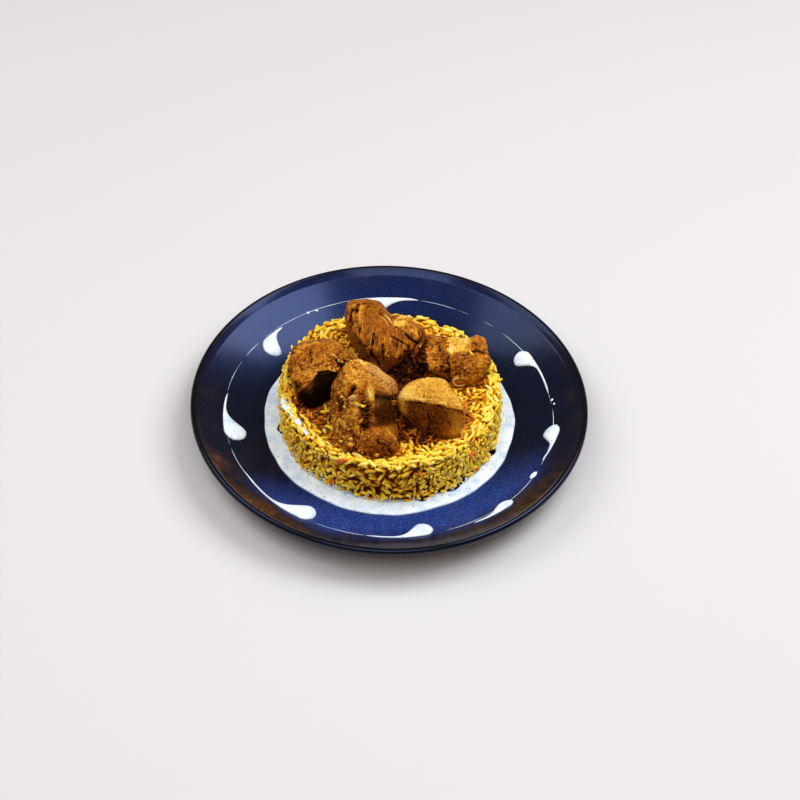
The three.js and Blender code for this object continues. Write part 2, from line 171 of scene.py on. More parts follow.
def fillInputs(tree, node, *placed, **named):
    # Inputs by place and by name: a socket is linked and a value is set
    pairs = [(node.inputs[k], value) for k, value in enumerate(placed)]
    pairs += [(node.inputs[key.replace("_", " ")], value) for key, value in named.items()]
    for socket, value in pairs:
        if isinstance(value, bpy.types.NodeSocket):
            tree.links.new(value, socket)
        else:
            socket.default_value = value


def addNode(tree, kind, choice=None, *placed, clamp=False, **named):
    # A shader node with the one choice that its kind has, and its inputs. Gives its outputs.
    node = tree.nodes.new("ShaderNode" + kind)
    if choice:
        setattr(node, nodeChoices[kind], choice)
    if clamp:
        node.use_clamp = True
    fillInputs(tree, node, *placed, **named)
    return node.outputs


def addRamp(tree, factor, stops):
    # The colour of a ramp through (place, hex colour) stops
    ramped = addNode(tree, "ValToRGB", None, factor)["Color"]
    elements = ramped.node.color_ramp.elements
    while len(elements) < len(stops):
        elements.new(0.5)
    for element, (place, colour) in zip(elements, stops):
        element.position = place
        element.color = hexColour(colour)
    return ramped


def newMaterial(name):
    # A material with its node tree and its Principled shader
    material = bpy.data.materials.new(name)
    material.use_nodes = True
    tree = material.node_tree
    return material, tree, tree.nodes["Principled BSDF"]


# The plate

plateLook = {
    "radius": 140.0, "wellRadius": 88.0, "wellHeight": 7.0,
    "slopeRadius": 134.0, "slopeRise": 17.6, "slopePower": 1.25,
    "lipRadius": 2.5, "lipHeight": 26.4,
    "footOuter": 80.0, "footInner": 73.0, "footHeight": 2.6, "footBevel": 1.5,
    "undersideKnees": [(126.0, 15.6), (96.0, 4.4)],
    "sides": 288,
    "calm": [(0.3, "#03060f"), (0.5, "#080e1f"), (0.62, "#0e1730"), (0.76, "#18244a")],
    "paintedSheenBlues": [(0.3, "#0a1230"), (0.5, "#152554"), (0.65, "#213670"), (0.8, "#364e8c")],
    "pooledLitFront": [(0.32, "#08103a"), (0.46, "#112462"), (0.56, "#1c3c8c"), (0.66, "#3c66bc"), (0.8, "#9ab6ec")],
    "thin": [(0.3, "#0d0e14"), (0.44, "#22150c"), (0.58, "#5a3614"), (0.7, "#83592e")],
    # Where the glaze ran thin: polar angle and spread
    "thinAt": [(223, 14), (314, 14)],
    # The lip's black, the grey of the painted reflection band at the front of the slope, and the tint of the
    # glaze's reflections
    "lip": "#08080a", "paintedReflectionGrey": "#3e4250", "tint": "#8fa6e4",
    # Directions of the painted sheen towards the back, and of the pooled cobalt, which is painted brighter
    # towards the front
    "toBack": (-0.3, 0.95, 0.0), "toFront": (0.17, -0.98, 0.0),
    # How each share grows: from and to, in metres, and the share at each where it isn't 0 and 1
    "paintedSheenBack": (0.045, 0.11, 0.0, 0.62), "pooledLitFrom": (0.035, 0.088), "pooledLitTo": (0.127, 0.108),
    "worn": (0.116, 0.132, 0.0, 0.06), "thinRing": (0.118, 0.132, 0.0, 0.6),
    "reflectionTowardFront": (0.1, 0.13, 0.0, 0.75), "outer": (0.124, 0.131), "edge": (0.1345, 0.137),
}


def plateTop(radius):
    # The height of the plate's upper face: flat in the well, then the well's height plus the slope's rise
    # times the share of the slope covered, to a power that makes it steepen
    look = plateLook
    along = np.maximum(0, (radius - look["wellRadius"]) / (look["slopeRadius"] - look["wellRadius"]))
    return look["wellHeight"] + look["slopeRise"] * along ** look["slopePower"]


def smoothKnees(points, rounds):
    # Chaikin's rule: each round puts two points a quarter and three quarters along every stretch
    for _ in range(rounds):
        low = points[:-1] * 0.75 + points[1:] * 0.25
        high = points[:-1] * 0.25 + points[1:] * 0.75
        middle = np.stack([low, high], 1).reshape(-1, 2)
        points = np.concatenate([points[:1], middle, points[-1:]])
    return points


def plateProfile():
    # The profile as (radius, height) rows, from the middle of the upper face over the lip to the middle of
    # the underside
    look = plateLook
    well = np.linspace(2, look["wellRadius"] - 2, 12)
    slope = np.linspace(look["wellRadius"], look["slopeRadius"], 26)
    top = np.concatenate([well, slope])
    upper = np.stack([top, plateTop(top)], 1)
    turn = np.radians(np.linspace(112, -60, 16))
    lip = np.stack([look["radius"] - look["lipRadius"] + look["lipRadius"] * np.cos(turn),
                    look["lipHeight"] + look["lipRadius"] * np.sin(turn)], 1)
    outer, inner, height, bevel = (look["foot" + part] for part in ("Outer", "Inner", "Height", "Bevel"))
    knees = np.array([lip[-1], *look["undersideKnees"], (outer + 1.5, height + 0.1)])
    under = smoothKnees(knees, 2)[1:]
    foot = np.array([(outer, height - 0.6), (outer - bevel, 0), (inner + bevel, 0), (inner, height),
                     (inner - 2, height), (2, height)])
    return np.concatenate([upper, lip, under, foot])


def glazeMaterial():
    # Reactive glaze on stoneware: a glassy coat, dark navy, that broke to cobalt specks where it pooled in
    # the well, to umber where it ran thin below the lip, and to black on the lip itself. A lighter blue
    # towards the back is a painted sheen, the cobalt is painted brighter towards the front, and a grey band
    # at the front of the slope is a painted reflection
    look = plateLook
    material, tree, shader = newMaterial("reactive glaze on stoneware")
    place = addNode(tree, "TexCoord")["Object"]
    split = addNode(tree, "SeparateXYZ", None, place)
    flat = addNode(tree, "CombineXYZ", None, split["X"], split["Y"])[0]
    radius = addNode(tree, "VectorMath", "LENGTH", flat)["Value"]
    cloud = addNode(tree, "TexNoise", Vector=place, Scale=18.0, Detail=6.0, Roughness=0.65)["Fac"]
    wander = addNode(tree, "Math", "MULTIPLY_ADD", cloud, 0.03, -0.015)[0]
    ragged = addNode(tree, "Math", "ADD", radius, wander)[0]
    toBack, toFront = (addNode(tree, "VectorMath", "DOT_PRODUCT", place, look[key])["Value"]
                       for key in ("toBack", "toFront"))
    paintedSheenBack, worn, thinRing, reflectionTowardFront, outer, pooledLitFrom, pooledLitTo = (
        addNode(tree, "MapRange", "SMOOTHSTEP", measure, *look[key])[0]
        for key, measure in (("paintedSheenBack", toBack), ("worn", ragged), ("thinRing", ragged),
                             ("reflectionTowardFront", toFront), ("outer", ragged), ("pooledLitFrom", toFront),
                             ("pooledLitTo", ragged)))
    edge = addNode(tree, "MapRange", None, radius, *look["edge"])[0]
    # It ran thin in two places below the lip, and hardly at all elsewhere
    for angle, spread in look["thinAt"]:
        toward = polarPoints(angle, 1.0, 0.0).tolist()
        along = addNode(tree, "VectorMath", "DOT_PRODUCT", place, toward)["Value"]
        cosine = addNode(tree, "Math", "DIVIDE", along, radius)[0]
        limits = [float(np.cos(np.radians(share * spread))) for share in (2, 0.5)]
        near = addNode(tree, "MapRange", "SMOOTHSTEP", cosine, *limits)[0]
        patch = addNode(tree, "Math", "MULTIPLY", near, thinRing)[0]
        worn = addNode(tree, "Math", "MAXIMUM", worn, patch)[0]
    # It pooled in the well on the side towards the eater, where its cobalt is also painted brighter as
    # painted light. The grey band at the front of the slope is a painted reflection.
    pooledLitFront = addNode(tree, "Math", "MULTIPLY", pooledLitFrom, pooledLitTo)[0]
    # A painted reflection: the grey band at the front of the slope
    paintedReflectionFront = addNode(tree, "Math", "MULTIPLY", reflectionTowardFront, outer)[0]
    # Specks of the glaze, 0.8 mm across, and the blotches of the thin glaze, up to 16 mm
    speck = addNode(tree, "TexNoise", Vector=place, Scale=1250.0, Detail=3.0, Roughness=0.75)["Fac"]
    blotch = addNode(tree, "TexNoise", Vector=place, Scale=60.0, Detail=8.0, Roughness=0.7)["Fac"]
    colour = addRamp(tree, speck, look["calm"])
    # Painted light in the glaze: a lighter blue sheen towards the back, cobalt painted brighter towards the
    # front, and a grey reflection band at the front of the slope
    layers = [(paintedSheenBack, addRamp(tree, speck, look["paintedSheenBlues"])),
              (pooledLitFront, addRamp(tree, speck, look["pooledLitFront"])), (worn, addRamp(tree, blotch, look["thin"])),
              (paintedReflectionFront, hexColour(look["paintedReflectionGrey"])), (edge, hexColour(look["lip"]))]
    for share, over in layers:
        colour = addNode(tree, "Mix", "RGBA", Factor=share, A=colour, B=over)["Result"]
    pits = addNode(tree, "TexNoise", Vector=place, Scale=420.0, Detail=2.0)["Fac"]
    swell = addNode(tree, "TexNoise", Vector=place, Scale=45.0, Detail=1.0)["Fac"]
    height = addNode(tree, "Math", "MULTIPLY_ADD", pits, 0.12, swell)[0]
    bump = addNode(tree, "Bump", Height=height, Strength=0.25, Distance=0.0004)[0]
    fillInputs(tree, shader, Base_Color=colour, Normal=bump, Roughness=0.17, IOR=1.48,
               Specular_Tint=hexColour(look["tint"]))
    return material


def makePlate():
    # The plate is its profile turned round the axis
    profile = plateProfile()[::-1]
    angle = np.linspace(0, 360, plateLook["sides"], endpoint=False)
    rings = polarPoints(angle[None, :], profile[:, :1], profile[:, 1:])
    makePiece("plate_glazed", *closedSkin(rings[None]), glazeMaterial(), "plate_glaze", replaced=["plate"])


# The sauce

sauceLook = {
    # Froth at the foot of the rice: polar angle, spread and count of the beads
    "froth": [(232, 16, 110), (205, 9, 22), (262, 9, 26), (300, 14, 16), (334, 12, 14), (120, 60, 30)],
    "poolRadius": 89.0, "poolHeight": 2.3, "clearance": 0.5, "under": 2.6, "poolRipple": 0.22,
    # Waves of the pool's outer edge, as count, phase and height, and gaps at its inner edge, as polar angle,
    # spread and depth
    "waves": [(3, 40, 0.45), (7, 10, 0.4), (13, 75, 0.25), (29, 20, 0.15)],
    "gaps": [(190, 4, 3.0), (288.5, 3, 2.2), (306, 5, 1.6), (339, 3.5, 1.6)],
    # Shares across the ring and up it, from the inner foot over the top to the outer foot
    "across": [0, 0, 0.03, 0.1, 0.2, 0.35, 0.5, 0.65, 0.78, 0.87, 0.93, 0.97, 0.992, 1.0, 0.996],
    "up": [0, 0.7, 0.9, 0.97, 1, 1, 1, 0.99, 0.96, 0.9, 0.8, 0.66, 0.46, 0.22, 0.0],
    # Each drop: the angles of its tail, its widest place and its end, the radius of its outer edge at both
    # ends, its width, how far the width spreads, and its height. All start with the same thin tail.
    "tail": (1.3, 0.7),
    "drops": [
        ((134.6, 143.6, 147.6), (115.2, 114.8), 15.5, 3.4, 3.0),
        ((174.0, 192.0, 196.3), (116.6, 118.2), 16.0, 6.0, 3.2),
        ((213.0, 240.3, 244.2), (116.3, 119.6), 18.0, 6.6, 3.2),
        ((263.8, 283.2, 286.8), (117.2, 118.4), 15.5, 5.2, 3.0),
        ((300.6, 313.6, 316.6), (119.0, 122.0), 8.0, 5.0, 2.4),
        ((339.1, 352.0, 355.8), (116.0, 122.4), 11.0, 3.8, 2.8),
        ((11.8, 31.2, 34.8), (116.4, 118.2), 12.5, 3.7, 2.8),
        ((80.9, 98.0, 104.0), (117.0, 115.8), 13.0, 7.0, 3.0),
    ],
    "lineRadius": 116.2, "lineWidth": 0.36, "lineHeight": 0.12,
    # Beads beside the line: polar angle, radius, half length, half width and turn
    "dots": [(331.2, 115.4, 3.8, 1.9, 58), (8.2, 117.0, 1.1, 0.8, 60), (6.1, 117.8, 0.9, 0.7, 60),
             (122.6, 115.8, 1.2, 0.9, 20), (119.2, 115.2, 1.0, 0.8, 20)],
    # The smear over the cake's rim: places across the plate and half widths
    "smear": [(-74.4, -15.5, 0.4), (-73.6, -20.0, 2.0), (-71.4, -25.0, 2.9), (-68.6, -30.0, 0.7),
              (-66.0, -34.0, 1.9), (-62.6, -38.4, 2.8), (-60.0, -42.5, 0.6), (-57.6, -46.0, 2.0),
              (-54.9, -50.2, 1.4), (-53.0, -52.6, 0.4)],
    "white": [(0.34, "#c4daf2"), (0.6, "#e9f5ff")], "herb": [(0.0, "#7b8775"), (1.0, "#b3b7aa")],
}


def yoghurtMaterial():
    # Stirred yoghurt: smooth, wet and faintly blue-white, with flecks of dried herb about a millimetre
    # across. Light goes a little way in.
    material, tree, shader = newMaterial("herbed yoghurt")
    place = addNode(tree, "TexCoord")["Object"]
    cells = addNode(tree, "TexVoronoi", Vector=place, Scale=420.0, Randomness=1.0)
    near = addNode(tree, "Math", "LESS_THAN", cells["Distance"], 0.23)[0]
    chosen = addNode(tree, "SeparateColor", None, cells["Color"])
    few = addNode(tree, "Math", "LESS_THAN", chosen["Red"], 0.24)[0]
    fleck = addNode(tree, "Math", "MULTIPLY", near, few)[0]
    cloud = addNode(tree, "TexNoise", Vector=place, Scale=110.0, Detail=5.0)["Fac"]
    white = addRamp(tree, cloud, sauceLook["white"])
    herb = addRamp(tree, chosen["Green"], sauceLook["herb"])
    colour = addNode(tree, "Mix", "RGBA", Factor=fleck, A=white, B=herb)["Result"]
    ripple = addNode(tree, "TexNoise", Vector=place, Scale=260.0, Detail=2.0)["Fac"]
    bump = addNode(tree, "Bump", Height=ripple, Strength=0.12, Distance=0.0006)[0]
    fillInputs(tree, shader, Base_Color=colour, Normal=bump, Roughness=0.28, IOR=1.36, Subsurface_Weight=0.2,
               Subsurface_Radius=(0.6, 0.7, 0.8), Subsurface_Scale=0.002)
    return material


def makePool(yoghurt):
    # The pool is a ring swept round the rice: its section runs from under the cake along the top, rounds
    # over at the outer edge and ends on the plate
    look = sauceLook
    angle = np.linspace(0, 360, 720, endpoint=False)
    opened = np.zeros_like(angle)
    for at, spread, depth in look["gaps"]:
        opened = opened + depth * bell(angleApart(angle, at), spread)
    inner = riceRadius(angle, plateLook["wellHeight"]) + look["clearance"] + opened
    inner = inner - look["under"] * np.exp(-opened)
    outer = np.full_like(angle, look["poolRadius"])
    for count, phase, height in look["waves"]:
        outer = outer + height * np.sin(np.radians(count * angle + phase))
    up = np.array(look["up"])
    radius = inner[:, None] + (outer - inner)[:, None] * np.array(look["across"])
    height = plateTop(radius) - 0.02 + look["poolHeight"] * up
    points = polarPoints(angle[:, None], radius, height)
    points[..., 2] += look["poolRipple"] * latticeNoise(points / 7.0, 5) * up
    quads = gridFaces(*height.shape, wrapRows=True)[:, ::-1]
    makePiece("yoghurt_pool", points.reshape(-1, 3), quads, noTriangles, yoghurt, "sauce",
              replaced=["sauce_pool"])


def dropSection(columns):
    # A section as shares across and up: a flat foot and a dome that is the 0.75 power of a half circle
    turn = circleAngles(columns)
    return -np.cos(turn), np.maximum(0, np.sin(turn)) ** 0.75


def makeDrop(number, drop, yoghurt):
    # A drop swept along its arc: its width grows like a bell curve to the head and then rounds off like a
    # circle, and its outer edge keeps to the ring line
    (tail, peak, end), (tailEdge, endEdge), width, spread, height = drop
    along = 1 - (1 - np.linspace(0, 1, 40)) ** 1.7
    rounding = np.sin(np.linspace(0.06, 0.98, 16) * np.pi / 2)
    angle = np.concatenate([tail + (peak - tail) * along, peak + (end - peak) * rounding])
    swell = np.where(angle < peak, bell(angle - peak, spread), 1)
    rounded = np.sqrt(1 - np.clip((angle - peak) / (end - peak), 0, 1) ** 2)
    start = np.minimum(1, np.linspace(0.3, 12, len(angle)))
    tailWidth, tailHeight = sauceLook["tail"]
    half = rounded * (tailWidth + (width - tailWidth) * swell) / 2
    rise = tailHeight + (height - tailHeight) * swell * rounded
    edge = tailEdge + (endEdge - tailEdge) * (angle - tail) / (end - tail)
    middle = edge - half / np.maximum(rounded, 0.05)
    across, up = dropSection(20)
    radius = middle[:, None] + (half * start)[:, None] * across
    points = polarPoints(angle[:, None], radius, plateTop(radius) - 0.03 + (rise * start)[:, None] * up)
    makePiece(f"yoghurt_drop_{number}", *closedSkin(points[None]), yoghurt, "sauce",
              replaced=[f"sauce_drop_{number}"])


def makeLine(yoghurt):
    # The hair-thin ring of sauce between the drops: a low ridge swept round the slope, thinner in places
    look = sauceLook
    angle = np.linspace(0, 360, 900, endpoint=False)
    sway = latticeNoise(polarPoints(angle, 30.0, 0.0) / 6.0, 3)
    thick = np.maximum(0.12, 0.75 + 0.8 * latticeNoise(polarPoints(angle, 60.0, 0.0) / 5.0, 9))
    across, up = dropSection(8)
    radius = (look["lineRadius"] + 0.35 * sway)[:, None] + (look["lineWidth"] / 2 * thick)[:, None] * across
    height = plateTop(radius) - 0.03 + (look["lineHeight"] * thick)[:, None] * up
    points = polarPoints(angle[:, None], radius, height)
    quads = gridFaces(*radius.shape, wrapRows=True)
    makePiece("yoghurt_line", points.reshape(-1, 3), quads, noTriangles, yoghurt, "sauce")


def makeDots(yoghurt):
    # Beads of sauce beside the line: flattened domes, longer one way, turned in the plate's plane
    rings = []
    for angle, distance, length, width, turn in sauceLook["dots"]:
        row = np.linspace(0.05, 0.97, 7)[:, None] * np.pi / 2
        column = circleAngles(18)[None, :]
        x = length * np.sin(row) * np.cos(column)
        y = width * np.sin(row) * np.sin(column)
        centre = polarPoints(angle, distance, 0.0)
        turned = np.radians(turn)
        px = centre[0] + x * np.cos(turned) - y * np.sin(turned)
        py = centre[1] + x * np.sin(turned) + y * np.cos(turned)
        pz = plateTop(np.hypot(px, py)) - 0.05 + 0.55 * width * np.cos(row) * np.ones_like(column)
        rings.append(np.stack([px, py, pz], -1)[::-1])
    makePiece("yoghurt_dots", *closedSkin(np.stack(rings)), yoghurt, "sauce")


def makeSmear(yoghurt):
    # The smear: a flattened round section carried over the rim along a curve through its places, its half
    # width taken between them
    x, y, half = resampled(np.array(sauceLook["smear"]), 60).T
    flat = np.stack([x, y], -1)
    flat[1:-1] = (flat[:-2] + 2 * flat[1:-1] + flat[2:]) / 4
    course = unit(np.gradient(flat, axis=0))
    turn = circleAngles(12)
    tube = np.stack(np.broadcast_arrays(x[:, None] + 2 * np.cos(turn), y[:, None], 2 * np.sin(turn)), -1)
    ragged = half[:, None] * (1 + 0.6 * latticeNoise(tube / 1.5, 12))
    aside = ragged * np.cos(turn)
    px = flat[:, :1] - course[:, 1:] * aside
    py = flat[:, 1:] + course[:, :1] * aside
    angle = np.degrees(np.arctan2(py, px))
    top = riceTop(angle, np.minimum(np.hypot(px, py), 75.5))
    lumps = 0.3 * latticeNoise(np.stack([px, py, top], -1) / 2.0, 4)
    pz = top + 0.5 + 0.4 * ragged * np.sin(turn) + lumps
    rings = np.stack([px, py, pz], -1)
    makePiece("yoghurt_smear", *closedSkin(rings[None]), yoghurt, "sauce")


# The rice

riceLook = {
    "topRadius": 75.8, "baseRadius": 77.2, "toward": 325.0, "once": 1.3, "twice": 0.8,
    "rimHeight": 42.6,
    "rimBumps": [(133, 9, 3.2), (95, 28, -5.5), (63, 5, -6), (45, 14, -1.8), (250, 30, -0.7), (195, 14, 1)],
    "dishAt": [1.4, 6, 11, 18, 76], "dishDepth": [0, 0.8, 3.2, 4.6, 5.4],
    "coreInset": 1.5, "wallInset": 4.0, "pressed": 2.4,
    "coreSides": 420, "coreWallRows": 30, "coreTopRows": 70, "dishAbove": 30,
    "grainRadius": (1.0, 1.4), "grainLength": (5.0, 10.0), "grainRows": 7, "grainColumns": 6,
    "tries": 15000, "tallest": 1.2, "wallPacking": 1.5, "topPacking": 1.15, "shortShare": 0.2,
    # How much painted shade a grain takes on its side towards the core
    "clumpLength": 8.0, "hollow": 4.2, "shadeTowardCore": 0.42,
    # A grain's zone goes from 0 on the wall to 1 on the top: where the wall ends and the top starts
    "wallZone": 0.15, "topZone": 0.9,
    # A grain is five balls along its axis: their places, and how much the tips taper. Balls are kept in
    # cubes of this size, in millimetres.
    "spots": (-0.42, -0.21, 0.0, 0.21, 0.42), "taper": (-1.2, 0.0, 0.0, 0.0, -1.2), "cube": 6.0,
    # The front of the wall as a polar angle, and the height and half depth of its golden band
    "front": 272, "bandHeight": 37.5, "bandDepth": 2.0,
    # Darker places in the dish, stock that soaked in and painted shade under and between the beef: across,
    # deep, half width, half depth and darkness
    "soakedAndShaded": [(12, 18, 13, 26, 1.8), (13, -30, 8, 12, 0.7), (22, -45, 9, 7, 0.9), (5, -47, 7, 8, 0.7),
               (-62, -26, 6, 12, 0.6), (-48, -32, 10, 12, 0.4), (-54, -46, 8, 8, 0.2), (62, -8, 8, 17, 0.2),
               (22, -56, 14, 5, 0.2)],
    # Grains caught on the meat: azimuth, elevation, spread in degrees and count
    "caught": {"beef_front_left": [(-36, -4, 20, 7), (-28, 34, 12, 2), (14, -20, 14, 3)],
               "beef_back_right": [(83, 64, 16, 4), (-110, 60, 8, 2)],
               "beef_left": [(-56, -6, 12, 4)]},
    "kinds": {
        "yellow": [(0.0, "#7c3202"), (0.26, "#cc7e08"), (0.56, "#f7bd14"), (1.0, "#ffdc4c")],
        "pale": [(0.0, "#964c04"), (0.3, "#e0a41e"), (0.6, "#fcd036"), (1.0, "#ffe674")],
        "golden": [(0.0, "#682802"), (0.33, "#b8680a"), (0.66, "#e09c18"), (1.0, "#f4be34")],
        "stainedAndShaded": [(0.0, "#1e0a02"), (0.3, "#6e3004"), (0.65, "#ad5c0a"), (1.0, "#d88a22")],
    },
    "packed": [(0.0, "#4e1802"), (0.35, "#984404"), (0.65, "#d08a10"), (1.0, "#efbc30")],
}


def riceRadius(angle, height):
    # The cake's radius: a base that swells by one and two waves round it, drawn in to the top radius by the
    # square root of the share of the height
    look = riceLook
    turn = np.radians(angle - look["toward"])
    base = look["baseRadius"] + look["once"] * np.cos(turn) + look["twice"] * np.cos(2 * turn)
    span = look["rimHeight"] - plateLook["wellHeight"]
    up = np.clip((height - plateLook["wellHeight"]) / span, 0, 1)
    return base + (look["topRadius"] - base) * np.sqrt(up)


def riceRim(angle):
    # The rim's height: the usual height plus a bell-shaped rise or dip at each named angle
    height = riceLook["rimHeight"] + 0.0 * angle
    for at, spread, rise in riceLook["rimBumps"]:
        height = height + rise * bell(angleApart(angle, at), spread)
    return height


def riceTop(angle, radius):
    # The top's height: the rim's less the depth of the dish at that distance from the edge
    depth = np.interp(riceLook["topRadius"] - radius, riceLook["dishAt"], riceLook["dishDepth"])
    return riceRim(angle) - depth


def soakedAndShadedShare(points):
    # How dark a place in the dish is painted, for stock that soaked in and for shade under and between the
    # beef: a bell-shaped share round each place, the largest of them
    x, y, height = points.T
    shares = [dark * np.exp(-((x - across) / wide) ** 2 - ((y - deep) / long) ** 2)
              for across, deep, wide, long, dark in riceLook["soakedAndShaded"]]
    return np.max(shares, axis=0) * (height > riceLook["dishAbove"])


def cookedRiceMaterial(name, stops, light):
    # Cooked basmati: moist, waxy and slightly translucent, dyed by saffron and turmeric. Each grain has its
    # own tone, with painted light and shade in it, from its tone attribute, and its colour drifts a little
    # along it.
    material, tree, shader = newMaterial(name)
    tone = addNode(tree, "Attribute", "grainToneAndShade")["Fac"]
    place = addNode(tree, "TexCoord")["Object"]
    drift = addNode(tree, "TexNoise", Vector=place, Scale=420.0, Detail=2.0)["Fac"]
    mixed = addNode(tree, "Math", "MULTIPLY_ADD", drift, 0.5, tone)[0]
    level = addNode(tree, "Math", "SUBTRACT", mixed, 0.25)[0]
    bump = addNode(tree, "Bump", Height=drift, Strength=0.2, Distance=0.0005)[0]
    fillInputs(tree, shader, Base_Color=addRamp(tree, level, stops), Normal=bump, Roughness=0.38, IOR=1.4,
               Specular_IOR_Level=0.22, Subsurface_Weight=light, Subsurface_Radius=(1.0, 0.55, 0.15),
               Subsurface_Scale=0.002)
    return material


def coreInset(angle, height):
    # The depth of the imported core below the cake's outline: the usual depth, less where the mould pressed
    # the grains flat on the left and right sides
    sway = latticeNoise(polarPoints(angle, 9.0, height / 9.0), 44)
    pressed = np.cos(np.radians(angle)) ** 2 * (0.5 + 0.5 * sway)
    return riceLook["wallInset"] - riceLook["pressed"] * pressed


def makeRiceCore(material):
    # The core is the cake's outline drawn in by the depth of the loose grains: a profile from the middle of
    # the foot up the wall and over the rim to the middle of the top, at each angle, with grain-sized noise
    look = riceLook
    angle = np.linspace(0, 360, look["coreSides"], endpoint=False)[None, :]
    floor = plateLook["wellHeight"] + 0.05
    rim = riceRim(angle) - look["coreInset"]
    wallHeight = floor + (rim - 1.0 - floor) * np.linspace(0, 1, look["coreWallRows"])[:, None]
    wallRadius = riceRadius(angle, wallHeight) - coreInset(angle + 0 * wallHeight, wallHeight)
    edge = look["topRadius"] - look["coreInset"] - 1.0
    topRadius = np.linspace(edge, 1.5, look["coreTopRows"])[:, None] + 0 * angle
    topHeight = riceTop(angle, topRadius + look["coreInset"]) - look["coreInset"]
    footRadius = np.array([[0.25], [0.9]]) * look["baseRadius"] + 0 * angle
    radius = np.concatenate([footRadius, wallRadius, topRadius])
    height = np.concatenate([floor + 0 * footRadius, wallHeight, topHeight])
    points = polarPoints(angle, radius, height)
    # Two rows lie in the foot. The wall's lowest row stays plain, and its others and the top are ribbed.
    row = np.arange(len(radius))[:, None]
    onTop = row >= 2 + look["coreWallRows"]
    onWall = (row > 2) & ~onTop
    turn = np.radians(angle)
    stretched = np.stack([points[..., 0] / 2.2, points[..., 1] / 2.2, points[..., 2] / 3.4], -1)
    ribs = 1 - 2 * np.abs(latticeNoise(stretched, 17))
    lift = np.stack([np.cos(turn) * onWall, np.sin(turn) * onWall, onTop + 0 * turn], -1)
    points = points + lift * (0.9 * ribs - 0.3)[..., None]
    points, quads, fans = closedSkin(points[None])
    # Painted light and shade on the core, which shows between the grains: dark in the depth of the front
    # wall, lighter up the wall and on the ribs, golden at the rim and the sides. Orange-brown under the beef,
    # from stock stain and painted shade.
    side = np.cos(turn) ** 2
    below = np.clip((height - 12.0) / 26.0, 0, 1)
    paintedCoreShade = np.where(onTop, 0.62, 0.02 + 0.5 * side + 0.3 * below * (1 - side)) + 0.3 * ribs
    paintedCoreShade = np.append(paintedCoreShade.ravel(), [0.1, 0.5]) + 0.12 * latticeNoise(points / 6.0, 8)
    # Darker near the beef, partly stock stain and partly painted shade under it
    stainAndShade = np.exp(-np.maximum(beefDistance(points), 0) / 6.0) * (points[:, 2] > look["dishAbove"])
    # The soaked places darken it too, by stock and by painted shade
    tone = np.clip(paintedCoreShade - 0.4 * stainAndShade - 0.9 * soakedAndShadedShare(points), 0, 1)
    makePiece("rice_core", points, quads, fans, material, "rice", {"grainToneAndShade": tone}, ["rice"])


def riceSites(draw, count):
    # Places on the cake's skin, spread by area: a polar angle, a point, the direction out of the skin, the
    # direction round the cake and a zone that goes from 0 on the wall over the rim to 1 on the top
    look = riceLook
    wallArea = look["topRadius"] * 2 * (look["rimHeight"] - plateLook["wellHeight"])
    rimArea = look["topRadius"] * 2 * 6
    topArea = (look["topRadius"] - 2) ** 2
    share = draw.random(count) * (wallArea + rimArea + topArea)
    angle = 360 * draw.random(count)
    other = draw.random(count)
    rim = riceRim(angle)
    wallHeight = plateLook["wellHeight"] + 1.5 + other * (rim - plateLook["wellHeight"] - 3.0)
    onWall = share < wallArea
    onRim = ~onWall & (share < wallArea + rimArea)
    bend = other * np.pi / 2
    topRadius = (look["topRadius"] - 2) * np.sqrt(other)
    radius = np.where(onRim, look["topRadius"] - 1.8 + 1.8 * np.cos(bend), topRadius)
    radius = np.where(onWall, riceRadius(angle, wallHeight), radius)
    height = np.where(onRim, rim - 1.8 + 1.8 * np.sin(bend), riceTop(angle, topRadius))
    height = np.where(onWall, wallHeight, height)
    lean = np.where(onWall, 0.0, np.where(onRim, bend, np.pi / 2))
    outward = polarPoints(angle, np.cos(lean), np.sin(lean))
    around = polarPoints(angle + 90, 1.0, 0.0)
    return angle, polarPoints(angle, radius, height), outward, around, lean / (np.pi / 2)


